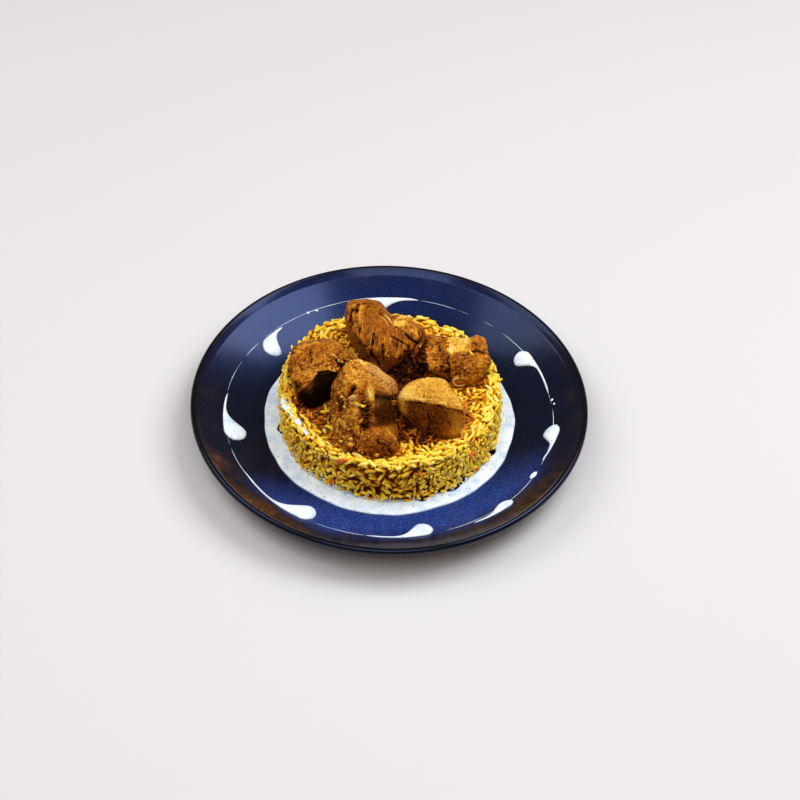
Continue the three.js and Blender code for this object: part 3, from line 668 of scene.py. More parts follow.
def settleGrains(draw):
    # Grains are laid one by one: each is moved along the skin's outward direction until its five balls
    # clear the core and every grain laid before, tips towards the lower of its ends, and is dropped again.
    # One that would stand too proud, or cut into the beef, isn't laid.
    look = riceLook
    count = look["tries"]
    angles, places, outwards, arounds, zones = riceSites(draw, count)
    thicks = draw.uniform(*look["grainRadius"], count)
    lengths = draw.uniform(*look["grainLength"], count)
    lengths = lengths * np.where(draw.random(count) < look["shortShare"], 0.5, 1)
    # Grains next to each other lie much alike: round the rim, upright on the left and right, and elsewhere
    # turned by a slow noise
    nearRim = (zones > look["wallZone"]) & ((zones < 0.99) | (np.hypot(places[:, 0], places[:, 1]) > 68))
    onWall = zones < look["wallZone"]
    sideOn = (np.abs(np.cos(np.radians(angles))) > 0.5) & onWall
    common = 2.6 * latticeNoise(places / look["clumpLength"], 57)
    own = draw.normal(0, np.where(nearRim, 0.3, np.where(sideOn, 0.3, 0.5)))
    stray = draw.normal(0, 1.2, count) * (draw.random(count) < np.where(nearRim | sideOn, 0.12, 0.25))
    shared = np.where(nearRim, 0.3, np.where(sideOn, 0.25, 1.0)) * common
    turns = own + stray + shared + np.where(sideOn, np.pi / 2, 0)
    tilts = draw.normal(0, np.where(onWall, 0.35, 0.16)) + 0.35 * latticeNoise(places / 5.0 + 20, 58)
    raised = 0.7 * latticeNoise(places / look["clumpLength"] + 40, 59)
    hollows = (latticeNoise(places / look["hollow"] + 60, 61) > 0.3) & (zones < 0.1) & ~sideOn
    insets = np.where(onWall, coreInset(angles, places[:, 2]), look["coreInset"])
    packings = np.where(onWall, look["wallPacking"], look["topPacking"])
    spots, taper = np.array(look["spots"]), np.array(look["taper"])
    each = len(spots)
    balls = np.zeros((count * each, 3))
    cells = {}
    laid = []
    for i in np.flatnonzero(~hollows):
        place, outward, around, thick, length = places[i], outwards[i], arounds[i], thicks[i], lengths[i]
        axis = around * np.cos(turns[i]) + np.cross(outward, around) * np.sin(turns[i])
        key = (place // look["cube"]).astype(int).tolist()
        near = [n for dx in (-1, 0, 1) for dy in (-1, 0, 1) for dz in (-1, 0, 1)
                for n in cells.get((key[0] + dx, key[1] + dy, key[2] + dz), ())]
        known = balls[near]
        tilt = tilts[i]
        for attempt in range(2):
            leaning = axis * np.cos(tilt) + outward * np.sin(tilt)
            line = place + leaning * (spots * length)[:, None]
            lifts = thick * 0.8 - insets[i] + raised[i] - (line - place) @ outward + taper
            if len(known):
                offset = known[None] - line[:, None]
                up = offset @ outward
                room = (packings[i] * thick) ** 2 - ((offset ** 2).sum(-1) - up ** 2)
                lifts = np.maximum(lifts, np.where(room > 0, up + np.sqrt(np.maximum(room, 0)), -99).max(1))
            if attempt == 0:
                tilt = tilt + np.clip(np.arctan2(lifts[3:].max() - lifts[:2].max(), 0.7 * length), -0.6, 0.6)
        lift = lifts.max()
        if lift > look["tallest"] + raised[i] + (0.3 if zones[i] > look["topZone"] else 0.0):
            continue
        line = line + outward * lift
        if line[:, 2].min() < plateLook["wellHeight"] + 0.8 or beefDistance(line).min() < 0.7 * thick:
            continue
        start = each * len(laid)
        balls[start:start + each] = line
        for n, cell in enumerate((line // look["cube"]).astype(int).tolist()):
            cells.setdefault(tuple(cell), []).append(start + n)
        laid.append((i, line[2], leaning, lift))
    chosen, middles, axes, lifts = (np.array(k) for k in zip(*laid))
    return middles, axes, *(k[chosen] for k in (outwards, thicks, lengths, zones, angles)), lifts


def caughtGrains(draw):
    # Grains stuck to the meat: each lies on its chunk in a direction drawn round the named one
    middles, axes, outwards = [], [], []
    for name, groups in riceLook["caught"].items():
        chunk = beefChunks[name]
        for azimuth, elevation, spread, count in groups:
            heading = facing(azimuth + draw.normal(0, spread, count),
                             elevation + draw.normal(0, spread, count) * 0.7)
            reach = beefReach(chunk, heading)[:, None]
            free = draw.normal(size=(count, 3))
            course = free - (free * heading).sum(1)[:, None] * heading
            middles.append(np.array(chunk["at"], float) + heading * (reach + 0.7))
            axes.append(unit(course))
            outwards.append(heading)
    return (np.concatenate(k) for k in (middles, axes, outwards))


def grainRings(middles, axes, outwards, thick, length, bend, rows, columns):
    # Each grain is a round section carried along a gentle arc, on which s goes from -1 to 1. The section's
    # radius is the 0.28 power of one less the square of s, and the arc leaves the axis by bend times one less
    # the square of s.
    s = np.sin(np.linspace(-0.95, 0.95, rows) * np.pi / 2)
    turn = circleAngles(columns)
    side = np.cross(outwards, axes)
    side /= np.linalg.norm(side, axis=1)[:, None] + 1e-9
    up = np.cross(axes, side)
    along = (length / 2)[:, None] * s
    sway = bend[:, None] * (1 - s ** 2)
    centre = middles[:, None] + axes[:, None] * along[..., None] + side[:, None] * sway[..., None]
    radius = (thick[:, None] * (1 - s ** 2) ** 0.28)[..., None, None]
    ring = side[:, None, None] * np.cos(turn)[:, None] + up[:, None, None] * (0.88 * np.sin(turn))[:, None]
    return centre[:, :, None] + radius * ring


def makeGrains(draw, materials):
    # The laid grains are shared out over the kinds: dark near the beef and down in the dish, by stock stain
    # and by painted shade, golden on the left and at the back and, as painted shade, at the foot of the front
    # wall, yellow and pale on the rest
    look = riceLook
    middles, axes, outwards, thick, length, zone, angle, lift = settleGrains(draw)
    caught, caughtAxes, caughtOutwards = caughtGrains(draw)
    extra = len(caught)
    middles, axes = np.concatenate([middles, caught]), np.concatenate([axes, caughtAxes])
    outwards = np.concatenate([outwards, caughtOutwards])
    thick = np.append(thick, draw.uniform(0.9, 1.15, extra))
    length = np.append(length, draw.uniform(2.6, 5.6, extra))
    angle = np.append(angle, np.zeros(extra))
    zone, lift = (np.append(k, np.ones(extra)) for k in (zone, lift))
    count = len(middles)
    bend = draw.normal(0, 0.85, count)
    patch = latticeNoise(middles / 13.0, 31)
    close = np.maximum(beefDistance(middles), 0)
    deepIn = (zone > look["topZone"]) & (np.hypot(middles[:, 0], middles[:, 1]) < 70)
    onWall = zone < look["wallZone"]
    fromFront = angleApart(angle, look["front"])
    # The foot of the front wall, where shade is painted: its grains get a darker tone and are more often
    # golden and less often pale
    low = onWall * np.clip((41 - middles[:, 2]) / 5, 0, 1) * bell(fromFront, 24.0)
    # Soaked and shaded places: stock that soaked in, and painted shade under and between the beef
    soakedAndShaded = soakedAndShadedShare(middles) * deepIn
    # Stock stain and painted shade near the beef and in the soaked and shaded places
    stainAndShade = 1.0 * np.exp(-close / 6.0) * deepIn + 1.2 * soakedAndShaded + 0.3 * patch + draw.normal(0, 0.2, count)
    nearLip = (zone > 0.1) & ~deepIn
    golden = 0.25 * np.cos(np.radians(angle - 150)) + 0.4 * patch + 0.35 * low - 0.3 * nearLip
    golden = golden + draw.normal(0, 0.3, count)
    # A golden band runs along the top of the front wall
    above = middles[:, 2] - look["bandHeight"]
    band = np.exp(-((above / look["bandDepth"]) ** 2) - ((fromFront / 30.0) ** 2))
    golden = golden + 0.6 * band * onWall
    pale = draw.random(count) < 0.22 + 0.3 * nearLip - 0.2 * low
    kind = np.where(stainAndShade > 0.5, 3, np.where(golden > 0.45, 2, np.where(pale, 1, 0)))
    # Painted light and shade: the wall is painted brighter, most at the front right and at the left, and so
    # is the right lip. The back and the left lip are painted darker. Grains that stand proud are painted
    # lighter, and those at the foot of the front wall darker.
    paintedLightByAngle = (0.12 + 0.12 * bell(angleApart(angle, 303), 22.0)) * onWall
    paintedLightByAngle = paintedLightByAngle - 0.2 * bell(angleApart(angle, 115), 40.0)
    paintedLightByAngle = paintedLightByAngle + 0.18 * bell(angleApart(angle, 335), 36.0) * (zone < 0.5)
    paintedLightByAngle = paintedLightByAngle + bell(angleApart(angle, 225), 26.0) * (0.13 * onWall - 0.16 * nearLip)
    tone = 0.7 + draw.normal(0, 0.2, count) + paintedLightByAngle + 0.12 * lift - 0.35 * low - 0.9 * soakedAndShaded
    kind[count - extra:] = draw.integers(1, 3, extra)
    tone[count - extra:] = draw.uniform(0.3, 0.7, extra)
    tone = np.clip(tone, 0, 1)
    # Boiled grains cling together: where they do they are thicker and sit deeper in one another
    front = bell(angleApart(angle, 270), 34.0) * onWall
    merged = np.clip(0.35 + 0.9 * latticeNoise(middles / 9.0, 33) + 0.4 * nearLip - 0.45 * front, 0, 1)
    thick = thick * (1 + 0.25 * merged)
    middles = middles - outwards * (0.35 * thick * merged)[:, None]
    for k, (name, material) in enumerate(materials.items()):
        mine = kind == k
        shapes = (values[mine] for values in (middles, axes, outwards, thick, length, bend))
        rings = grainRings(*shapes, look["grainRows"], look["grainColumns"])
        points, quads, fans = closedSkin(rings)
        within = points.reshape(len(rings), -1, 3) - middles[mine][:, None]
        stand = (within * outwards[mine][:, None]).sum(-1) / thick[mine][:, None]
        # Painted shade: each grain is darker on its side towards the core and lighter on the side that stands
        # out
        tones = np.clip(tone[mine][:, None] + look["shadeTowardCore"] * (stand - 0.4), 0, 1).ravel()
        makePiece(f"rice_grains_{name}", points, quads, fans, material, "rice", {"grainToneAndShade": tones})
        print("rice grains", name, int(mine.sum()), "triangles", 2 * len(quads) + len(fans))


# The carrot

carrotLook = {
    # Angle, height, turn and size of each bit on the wall, as in the part
    "bits": [(246.5, 40.5, 35, (9.5, 3.4, 3.0)), (210, 25, 62, (13, 2.8, 2.4)),
             (240.5, 14.5, 50, (7, 2.6, 2.2)), (318, 31, 20, (6, 2.6, 2.2)),
             (118, 30, -40, (8, 2.8, 2.4)), (35, 24, 25, (7, 2.8, 2.2))],
    "standOut": 1.3,
    "orange": [(0.3, "#c04a02"), (0.52, "#ea7410"), (0.75, "#f8aa3a")],
}


def carrotMaterial():
    # Carrot and tomato cooked soft in the rice: orange-red, wet, with light going a little way in
    material, tree, shader = newMaterial("stewed carrot and tomato")
    place = addNode(tree, "TexCoord")["Object"]
    cloud = addNode(tree, "TexNoise", Vector=place, Scale=350.0, Detail=4.0)["Fac"]
    fillInputs(tree, shader, Base_Color=addRamp(tree, cloud, carrotLook["orange"]), Roughness=0.3,
               Subsurface_Weight=0.2, Subsurface_Radius=(1.0, 0.4, 0.15), Subsurface_Scale=0.002)
    return material


def softBlocks(middles, along, outward, sizes, seed):
    # Soft-cornered blocks: a ball whose three coordinates are each raised to the 0.6 power, stretched to the
    # block's size and pushed about by noise
    rows = np.linspace(0.06, 0.94, 9)[:, None] * np.pi
    columns = circleAngles(14)[None, :]
    ball = np.stack(np.broadcast_arrays(np.cos(rows), np.sin(rows) * np.cos(columns),
                                        np.sin(rows) * np.sin(columns)), -1)
    block = np.sign(ball) * np.abs(ball) ** 0.6
    side = np.cross(outward, along)
    half = sizes[:, None, None] / 2 * block[None]
    points = middles[:, None, None]
    for k, way in enumerate((along, side, outward)):
        points = points + half[..., k:k + 1] * way[:, None, None]
    push = 0.35 * latticeNoise(points / 2.2, seed)
    return (points + push[..., None] * outward[:, None, None])[:, ::-1]


def makeCarrot():
    # The bits lie on the cake's wall, each turned in the wall's own plane
    bits = carrotLook["bits"]
    angle, height, turn = (np.array([bit[k] for bit in bits], float) for k in range(3))
    sizes = np.array([bit[3] for bit in bits], float)
    outward = polarPoints(angle, 1.0, 0.0)
    around = polarPoints(angle + 90, 1.0, 0.0)
    up = np.array([0.0, 0.0, 1.0])
    along = around * np.cos(np.radians(turn))[:, None] + up * np.sin(np.radians(turn))[:, None]
    middles = polarPoints(angle, riceRadius(angle, height), height) + outward * carrotLook["standOut"]
    rings = softBlocks(middles, along, outward, sizes, 41)
    makePiece("rice_carrot", *closedSkin(rings), carrotMaterial(), "rice")


# The beef

beefLook = {
    # Sizes are in mm: how wide a thing is, how many times longer than wide, and how high it stands
    "lumpHeight": 0.7, "steps": 108,
    "warp": 1.6, "warpLength": 10.0,
    "bundle": 4.4, "bundleStretch": 4.6, "bundleHeight": 1.05, "bundleFloor": 0.3,
    "fibre": 1.6, "fibreStretch": 5.0, "fibreHeight": 0.5,
    "lump": 6.5, "lumpRise": 0.8, "layer": 8.0, "layers": 2.4, "layerRise": 1.0,
    "grit": 1.4, "gritRise": 0.36, "ragged": 0.5, "paler": 0.03, "creaseShade": 0.75,
    # How far apart, in mm, bundles show and hide, grit comes and goes, and the tone is blotched
    "show": 9.0, "gritty": 12.0, "blotch": 6.0,
    "crumbSize": (0.45, 1.1), "crumbTop": 81.0,
    "strands": 22, "strandRadius": (0.22, 0.42), "strandLength": (4.0, 11.0), "usualReach": 24.0,
    # Rows and columns of a thread's and a strand's skin
    "threadGrid": (14, 6), "strandGrid": (9, 5),
    "tones": [(0.0, "#140802"), (0.16, "#472104"), (0.32, "#7a400a"), (0.5, "#aa6618"), (0.66, "#ce922e"),
              (0.82, "#e8bc50"), (1.0, "#f6dc88")],
    "fat": "#f0d28a", "red": "#98300c", "tint": "#ffc070",
    # From and to, and the roughness over pores and the shine over tones at each: dark places hardly shine
    "gloss": (0.35, 0.65, 0.24, 0.5), "shine": (0.1, 0.4, 0.02, 0.4),
}
beefShares = ("beefToneAndShade", "beefFat", "beefRed")
# Each chunk has its centre, the sharpness of its edges, a seed, a share of the roughness and the way of its
# fibres. Its faces are azimuth, elevation, distance and tone, from 0 for seared to 1 for golden; dark tones
# on faces turned down or away from the lamps are partly searing and partly painted shade. Dents are azimuth,
# elevation, spread and height. Creases are a width, a depth, below zero for a ridge, and the azimuths and
# elevations that they pass through. Steps lie beyond all of their planes, each an azimuth, elevation,
# distance and softness, and have a rise, a tone of their own and a share of roughness that they take away.
# A step's very dark tone in a recess is painted shade.
# Patches are azimuth, elevation, spread in degrees and what they add to the tone, the fat and the red.
# Threads have a radius, a tone, fat, red and a path. Crumbs are azimuth, elevation, spread, count and size.
beefChunks = {
    "beef_back": {
        "at": (-3, 34, 57), "edge": 9, "seed": 1, "rough": 0.85, "fibres": (176, 45),
        "faces": [(-8, -8, 25.6, 0.4), (180, 5, 25.4, 0.4), (0, 88, 20.4, 0.4), (30, 62, 20, 0.44),
                  (0, -90, 19, 0.2), (-81, -8, 28.8, 0.42), (-17, -42, 35.4, 0.42), (59, -26, 17.5, 0.4),
                  (128, 30, 22.5, 0.48), (143, 37, 18, 0.44), (176, 43, 28.9, 0.4), (-97, 6, 37.6, 0.4),
                  (-58, -18, 23, 0.3)],
        "dents": [(125, 25, 0.45, -1.5), (-127, 27, 0.25, -2), (-162, 45, 0.2, 1.5)],
        "steps": [([(94, 3, -1.6, 0.8), (-89, -2, -10.2, 1.2), (144, 40, 13.2, 1)], -3.5, 0.5, 0),
                  ([(99, 10, 10.6, 0.6), (152, 42, -3.6, 1.5)], 1.6, 0.5, 0),
                  ([(123, 30, 13.8, 0.8), (-80, -10, -9.3, 0.8)], -1, 0.46, 0),
                  ([(-85, -4, 17, 0.5)], -1, 0.41, 0.1),
                  ([(93, 2, -18.9, 0.4), (-169, 45, 4.4, 1.5), (-84, -6, -5.7, 0.6)], 0, 0.42, 0.5),
                  ([(64, -23, 14.8, 0.8)], 0, 0.3, 0),
                  ([(3, -46, -2.7, 1.2), (92, 1, -15.2, 1), (-88, -1, 7.5, 1),
                    (-177, 45, -7.9, 1.2)], 0, 0.31, 0),
                  ([(6, -46, -11, 0.5), (-174, 46, 7.1, 0.5), (94, 4, 4.5, 0.5),
                    (-89, -2, -13, 0.5)], 0.4, 0.84, 0.6)],
        "creases": [(1.3, 2.2, [(-117, 40), (-96, 42), (-68, 40)]),
                    (1.3, 1.8, [(-104, 38), (-88, 37), (-71, 33)]),
                    (0.9, 1, [(42, 62), (49, 43), (48, 31), (64, 5)]),
                    (0.8, 0.8, [(9, 46), (28, 34), (38, 23)]), (0.8, 0.7, [(10, 24), (28, 19), (61, -1)]),
                    (0.7, 0.8, [(-117, 70), (-89, 87), (24, 73)]),
                    (1.4, 1.2, [(-28, 20), (-22, 7), (-12, -5)]),
                    (0.7, 0.5, [(-122, 44), (-135, 53), (-163, 61)]),
                    (1, -0.8, [(-113, 38), (-89, 40), (-64, 36)]),
                    (1.2, -0.6, [(-114, 46), (-86, 47), (-53, 41)]),
                    (0.6, -0.8, [(-125, 80), (47, 85), (44, 70)]),
                    (1.1, -0.7, [(102, 69), (139, 12), (87, 37)]),
                    (0.8, -0.6, [(66, 50), (62, 35), (65, 18)]),
                    (1.3, -0.7, [(-36, 28), (-31, 21), (-32, 3)]),
                    (0.9, 1.0, [(-64, 43), (-45, 31), (-41, 12)]), (0.7, 0.7, [(-34, 45), (-25, 29)]),
                    (0.7, 0.7, [(-8, 31), (-4, 5)]), (0.6, 0.6, [(5, 31), (6, 7)]),
                    (0.7, 0.7, [(21, 20), (17, -3)]), (0.6, 0.5, [(-121, 51), (-79, 53), (-50, 48)])],
        "patches": [(-30, 76, 14, 0, 0, 0.5), (4, 56, 10, 0, 0, 0.5), (-49, -8, 6, 0.3, 0.3, 0),
                    (110, 56, 9, 0.3, 0.6, 0)],
        "threads": [(0.5, 0.9, 0.8, 0, [(-125, 80), (45, 88), (31, 73)]),
                    (0.4, 0.8, 0.5, 0.2, [(-89, 72), (-40, 80), (6, 66)]),
                    (0.5, 0.62, 0.2, 0, [(-33, 40), (-27, 27), (-29, 11)]), (0.55, 0.6, 0, 0,
                                                                             [(-98, 47), (-70, 47),
                                                                              (-48, 38)])],
        "crumbs": [(22, 45, 16, 6, 0.8)],
    },
    "beef_left": {
        "at": (-44, 7, 53), "edge": 8, "seed": 2, "rough": 0.9, "fibres": (-20, 50),
        "faces": [(3, 22, 27, 0.12), (180, 0, 17.2, 0.4), (-20, 75, 16.3, 0.46), (60, 50, 20, 0.5),
                  (0, -90, 17, 0.1), (-71, -17, 29, 0.4), (-15, -42, 44, 0.1), (63, -23, 24.6, 0.12),
                  (72, -16, 23.3, 0.15), (131, 32, 16.9, 0.45), (166, 42, 19.5, 0.45),
                  (-160, 41, 20.3, 0.45), (-93, 3, 25.4, 0.42), (42, -12, 23, 0.08), (125, -9, 21.3, 0.3)],
        "dents": [],
        # Its first step is a recess painted near black as shade
        "steps": [([(61, -27, -2.2, 0.5), (4, -44, 5.2, 0.5)], -3.6, -0.06, 0.8),
                  ([(103, 10, 5, 0.8), (3, -45, -6.2, 0.8)], 0, 0.4, 0)],
        "creases": [(1.2, 1.8, [(97, 50), (82, 41), (71, 30)]), (1.9, 2, [(39, 37), (45, 30), (54, 30)]),
                    (1, 1, [(-18, 30), (3, 34), (21, 27)]), (0.8, 1, [(31, 60), (35, 44), (57, 44)]),
                    (0.8, 0.6, [(12, 58), (-17, 48), (-35, 38)]),
                    (1.7, -1, [(116, 32), (108, 20), (94, 10)]),
                    (1.4, -0.9, [(-30, 9), (-25, 17), (-21, 28)]),
                    (1.2, -0.7, [(-22, 36), (3, 41), (23, 33)]),
                    (1.2, -0.4, [(-163, 66), (114, 66), (83, 53)]),
                    (1, -0.4, [(-85, 37), (-103, 47), (-133, 59)]),
                    (0.7, 0.7, [(-89, 51), (-51, 46), (-43, 31)]),
                    (0.6, 0.6, [(-124, 73), (-17, 76), (-16, 53)]), (0.7, 0.7, [(-63, 31), (-44, 24)])],
        "patches": [(-36, 32, 12, 0.14, 0.15, 0), (-27, 8, 9, 0.34, 0.1, 0), (101, 38, 13, 0.12, 0.3, 0),
                    (92, 20, 10, 0.12, 0.25, 0), (48, 32, 12, -0.2, 0, 0), (-56, -8, 12, 0.3, 0.3, 0)],
        "threads": [(0.8, 0.66, 0.2, 0, [(116, 32), (108, 21), (94, 10)]),
                    (0.5, 0.6, 0.1, 0, [(-22, 36), (0, 41)]),
                    (0.5, 0.62, 0, 0.2, [(-45, 15), (-45, 23), (-39, 30)])],
        "crumbs": [(-32, 52, 22, 5, 0.8), (41, 45, 10, 12, 1.1)],
    },
    "beef_front_left": {
        "at": (-16, -33, 55), "edge": 8, "seed": 3, "rough": 1, "fibres": (-8, 55),
        "faces": [(-15, 38, 20.2, 0.5), (60, 0, 32.4, 0.3), (20, 86, 25.1, 0.62), (170, 20, 33.4, 0.42),
                  (0, -90, 17, 0.2), (-90, 20, 27.8, 0.48), (-87, -3, 25, 0.42), (-74, -14, 30.2, 0.4),
                  (-8, -43, 32, 0.38), (48, -32, 44.6, 0.3), (86, -3, 35.8, 0.25), (105, 13, 19, 0.3),
                  (140, 36, 26.2, 0.6), (-124, 28, 35.4, 0.55), (-150, -10, 20.5, 0.35)],
        "dents": [(112, 32, 0.3, 4)],
        # Its first step is a recess under the flap, painted dark as shade
        "steps": [([(90, -1, 5.3, 0.4), (-4, -44, -9.2, 0.4), (144, 37, -10.3, 0.5)], -3, 0.12, 0.85),
                  ([(97, 6, 6.5, 0.9), (176, 44, 9.2, 0.4)], 1.4, 0.47, 0.1),
                  ([(17, -42, 15.3, 0.6)], 1.2, 0.48, 0),
                  ([(-36, -37, 10.3, 0.5), (92, 1, 4.8, 0.5)], 2, 0.44, 0),
                  ([(-72, -15, 11, 1)], -0.8, 0.44, 0),
                  ([(0, -44, -4.5, 0.8), (89, -2, -4, 0.9), (-90, 0, -5, 0.4),
                    (-170, 43, -15.9, 1)], 0, 0.22, 0),
                  ([(95, 4, 2.1, 0.6), (-88, -1, -5.5, 0.4), (3, -44, -14.2, 0.8),
                    (-168, 43, 3.9, 0.8)], 0.3, 0.74, 0.4)],
        "creases": [(1.9, 2.6, [(-61, 67), (-54, 57), (-51, 46)]),
                    (1.9, 2.4, [(-56, 37), (-54, 27), (-50, 19)]),
                    (1.5, 1.2, [(37, 63), (50, 54), (62, 45)]), (0.8, 0.6, [(151, 77), (55, 80)]),
                    (0.8, 0.7, [(-139, 58), (-146, 67), (-165, 68)]),
                    (0.8, 0.6, [(-12, 43), (-10, 20), (-1, 6)]), (0.9, 1, [(15, 0), (25, -6), (32, -21)]),
                    (1.9, -0.6, [(-146, 54), (-162, 53), (-171, 62)]), (1.8, -0.9, [(-112, 51), (-125, 60)]),
                    (0.9, -0.7, [(32, 70), (23, 51), (16, 19)]), (2, -0.5, [(19, 77), (15, 61)]),
                    (1, -0.6, [(30, 10), (38, -2), (47, -22)]),
                    (0.8, 0.9, [(-57, 11), (-41, 4), (-35, -13)]),
                    (0.8, 0.9, [(-20, 0), (-11, -11), (-14, -24)]),
                    (0.8, 0.9, [(-37, 13), (-24, 5), (-23, -7)]), (0.7, 0.8, [(-12, 54), (-5, 30)]),
                    (0.7, 0.8, [(4, 38), (5, 14)]), (0.7, 0.7, [(-81, 49), (-70, 36), (-58, 28)])],
        "patches": [(100, 58, 24, 0.02, 0.4, 0), (151, 56, 20, 0.06, 0.5, 0), (30, 48, 8, 0.22, 0.25, 0),
                    (16, 20, 6, 0.24, 0.25, 0), (-36, 50, 6, 0.3, 0.5, 0), (-24, 34, 6, 0.3, 0.5, 0),
                    (-20, 18, 6, 0.25, 0.4, 0), (12, -12, 18, -0.12, 0, 0.35), (-50, 20, 18, 0.05, 0, 0.25)],
        "threads": [(0.55, 0.7, 0, 0.9, [(-68, 42), (-57, 44), (-41, 45)]),
                    (0.5, 1, 0.9, 0, [(-54, 38), (-47, 31), (-45, 24)]),
                    (0.6, 0.7, 0.2, 0, [(-37, 38), (-24, 32), (-23, 21)])],
        "crumbs": [(-45, 34, 13, 26, 1), (-32, 4, 14, 34, 1), (-14, -14, 12, 20, 1), (20, -8, 14, 10, 1),
                   (-41, 55, 2, 1, 2.6), (-22, 18, 2, 1, 2.4), (-118, 56, 2, 1, 2.4), (-157, 57, 2, 1, 2.6),
                   (-17, 2, 2, 1, 1.9), (-45, 30, 2, 1, 1.9), (-35, 21, 2, 1, 2.1), (-38, -4, 2, 1, 1.8),
                   (-21, -10, 2, 1, 1.9), (-29, -20, 2, 1, 1.8), (-12, -24, 2, 1, 2.0), (-46, 3, 2, 1, 1.8),
                   (-26, 48, 2, 1, 1.6), (-34, 5, 2, 1, 1.7)],
    },
    "beef_front_right": {
        "at": (30.6, -31, 55), "edge": 8, "seed": 4, "rough": 0.5, "fibres": (0, 46),
        "faces": [(-11, 12, 12.8, 0.14), (178, 0, 19.1, 0.4), (-10, 62, 16.5, 0.72), (0, -90, 17, 0.1),
                  (-83, -6, 26.6, 0.6), (-45, -34, 17.8, 0.45), (3, -43, 31.7, 0.2), (63, -23, 25.3, 0.42),
                  (101, 10, 20.7, 0.55), (125, 28, 17.9, 0.66), (-180, 43, 19.7, 0.72),
                  (-129, 31, 24.5, 0.74)],
        "dents": [],
        "steps": [([(29, -40, -8, 0.4), (3, -44, -3.1, 0.4), (-21, -42, -2.5, 0.4),
                    (-84, -8, -14.9, 0.7)], 0, 0.25, 0),
                  ([(98, 10, 9.4, 1.8), (-30, -40, -3.6, 0.6)], 0, 0.58, 0),
                  ([(-84, -6, 18.6, 0.7), (-177, 44, -6, 0.8)], 0, 0.66, 0.2),
                  ([(-76, -14, 10.6, 0.4), (-177, 44, 5.5, 0.4)], 0.3, 0.78, 0.3)],
        "creases": [(0.7, 0.4, [(-72, 25), (-62, 40), (-19, 54), (33, 42), (50, 24)]),
                    (0.8, -0.4, [(-76, 30), (-71, 44), (-25, 63), (41, 49)]),
                    (1, -0.4, [(-78, 20), (-68, 9), (-55, -22)]),
                    (0.6, 0.4, [(-104, 58), (-70, 67), (-51, 57)]), (0.6, 0.4, [(139, 87), (51, 64)]),
                    (0.6, 0.6, [(-20, 36), (-11, -15), (-21, -47)]), (0.6, 0.6, [(32, 30), (36, -6)])],
        "patches": [(-84, 32, 12, 0.1, 0.4, 0), (-16, 40, 7, -0.06, 0, 0.5), (14, 36, 8, -0.06, 0, 0.5),
                    (40, -22, 16, 0.2, 0, 0.2), (-10, -2, 9, -0.1, 0, 0.3)],
        "threads": [(0.4, 0.9, 0.3, 0, [(-98, 45), (-83, 48), (-67, 45)])],
        "crumbs": [(-20, 66, 10, 2, 0.8)],
    },
    "beef_back_right": {
        "at": (47, 18, 50), "edge": 8, "seed": 5, "rough": 1, "fibres": (0, 46),
        "faces": [(10, 10, 12.6, 0.34), (180, 0, 13.8, 0.35), (15, 70, 11, 0.42), (0, -90, 13, 0.1),
                  (-34, -38, 15, 0.16), (-2, -43, 20.6, 0.1), (66, -21, 19.6, 0.3), (100, 9, 22, 0.36),
                  (171, 43, 19.8, 0.45), (-152, 40, 25.2, 0.46), (-102, 11, 28.4, 0.5)],
        "dents": [(125, 50, 0.25, 3)],
        "steps": [([(95, 7, -5.8, 0.6)], 1.1, 0.5, 0.1),
                  ([(-88, -4, 7.8, 0.5), (92, 3, -21.1, 0.5)], 0, 0.5, 0),
                  ([(-142, 37, 6.9, 0.8), (97, 9, -6.6, 0.5), (-90, -3, -10, 0.8)], -2, 0.78, 0.2),
                  ([(95, 8, 11, 0.6), (-172, 45, 8.9, 0.5)], 0.4, 0.5, 0),
                  ([(91, 2, -11.8, 0.5), (-88, -4, 7.8, 0.5)], 0, 0.38, 0),
                  ([(-88, -3, 21.1, 0.5)], 0, 0.06, 0)],
        "creases": [(1, 0.5, [(-126, 55), (-86, 55), (-49, 48)]), (0.8, 0.8, [(-33, 23), (-25, -7)]),
                    (1.2, 1, [(126, 60), (109, 49)]), (0.8, 0.6, [(12, 67), (88, 54), (91, 36)]),
                    (1.3, -0.6, [(-132, 60), (-66, 63)]), (1.2, -0.4, [(101, 28), (88, 12), (72, 0)]),
                    (0.9, -0.8, [(-86, 31), (-70, 27), (-63, 14)]),
                    (0.55, -1.2, [(4, -3), (-8, -3), (-13, -13), (-4, -24), (15, -29)]),
                    (0.9, 1.1, [(-58, 51), (-30, 29), (-19, -10)]), (0.7, 0.7, [(-97, 38), (-64, 28)]),
                    (0.8, 0.8, [(-116, 48), (-67, 40), (-43, 21)]),
                    (1.0, -0.7, [(-56, 14), (-42, -1), (-3, -41)]),
                    (0.7, 0.8, [(57, 72), (95, 43), (90, 28)])],
        "patches": [(-100, 66, 10, 0.2, 0.4, 0), (-60, 80, 10, 0.2, 0.4, 0), (83, 64, 9, 0.2, 0.3, 0),
                    (-96, 8, 14, 0, 0, 0.8), (60, 70, 12, 0.2, 0.5, 0)],
        "threads": [(0.55, 1, 1, 0, [(4, -3), (-5, -1), (-12, -10), (-7, -24), (2, -31), (18, -30)])],
        "crumbs": [(30, 30, 22, 8, 0.7)],
    },
}


def facing(azimuth, elevation):
    # The direction of a face: azimuth 0 looks at the eater and 90 to the right
    flat = np.cos(np.radians(elevation))
    turn = np.radians(azimuth)
    high = np.sin(np.radians(elevation))
    return np.stack(np.broadcast_arrays(np.sin(turn) * flat, -np.cos(turn) * flat, high), -1)


def faceShares(chunk, directions):
    # The cosine between a direction and each face over that face's distance, and never less than zero
    faces = np.array(chunk["faces"], float)
    return np.maximum(0, directions @ facing(faces[:, 0], faces[:, 1]).T / faces[:, 2])


def angleBetween(directions, azimuth, elevation):
    # The angle in degrees between directions and the one named
    return np.degrees(np.arccos(np.clip(directions @ facing(azimuth, elevation), -1, 1)))


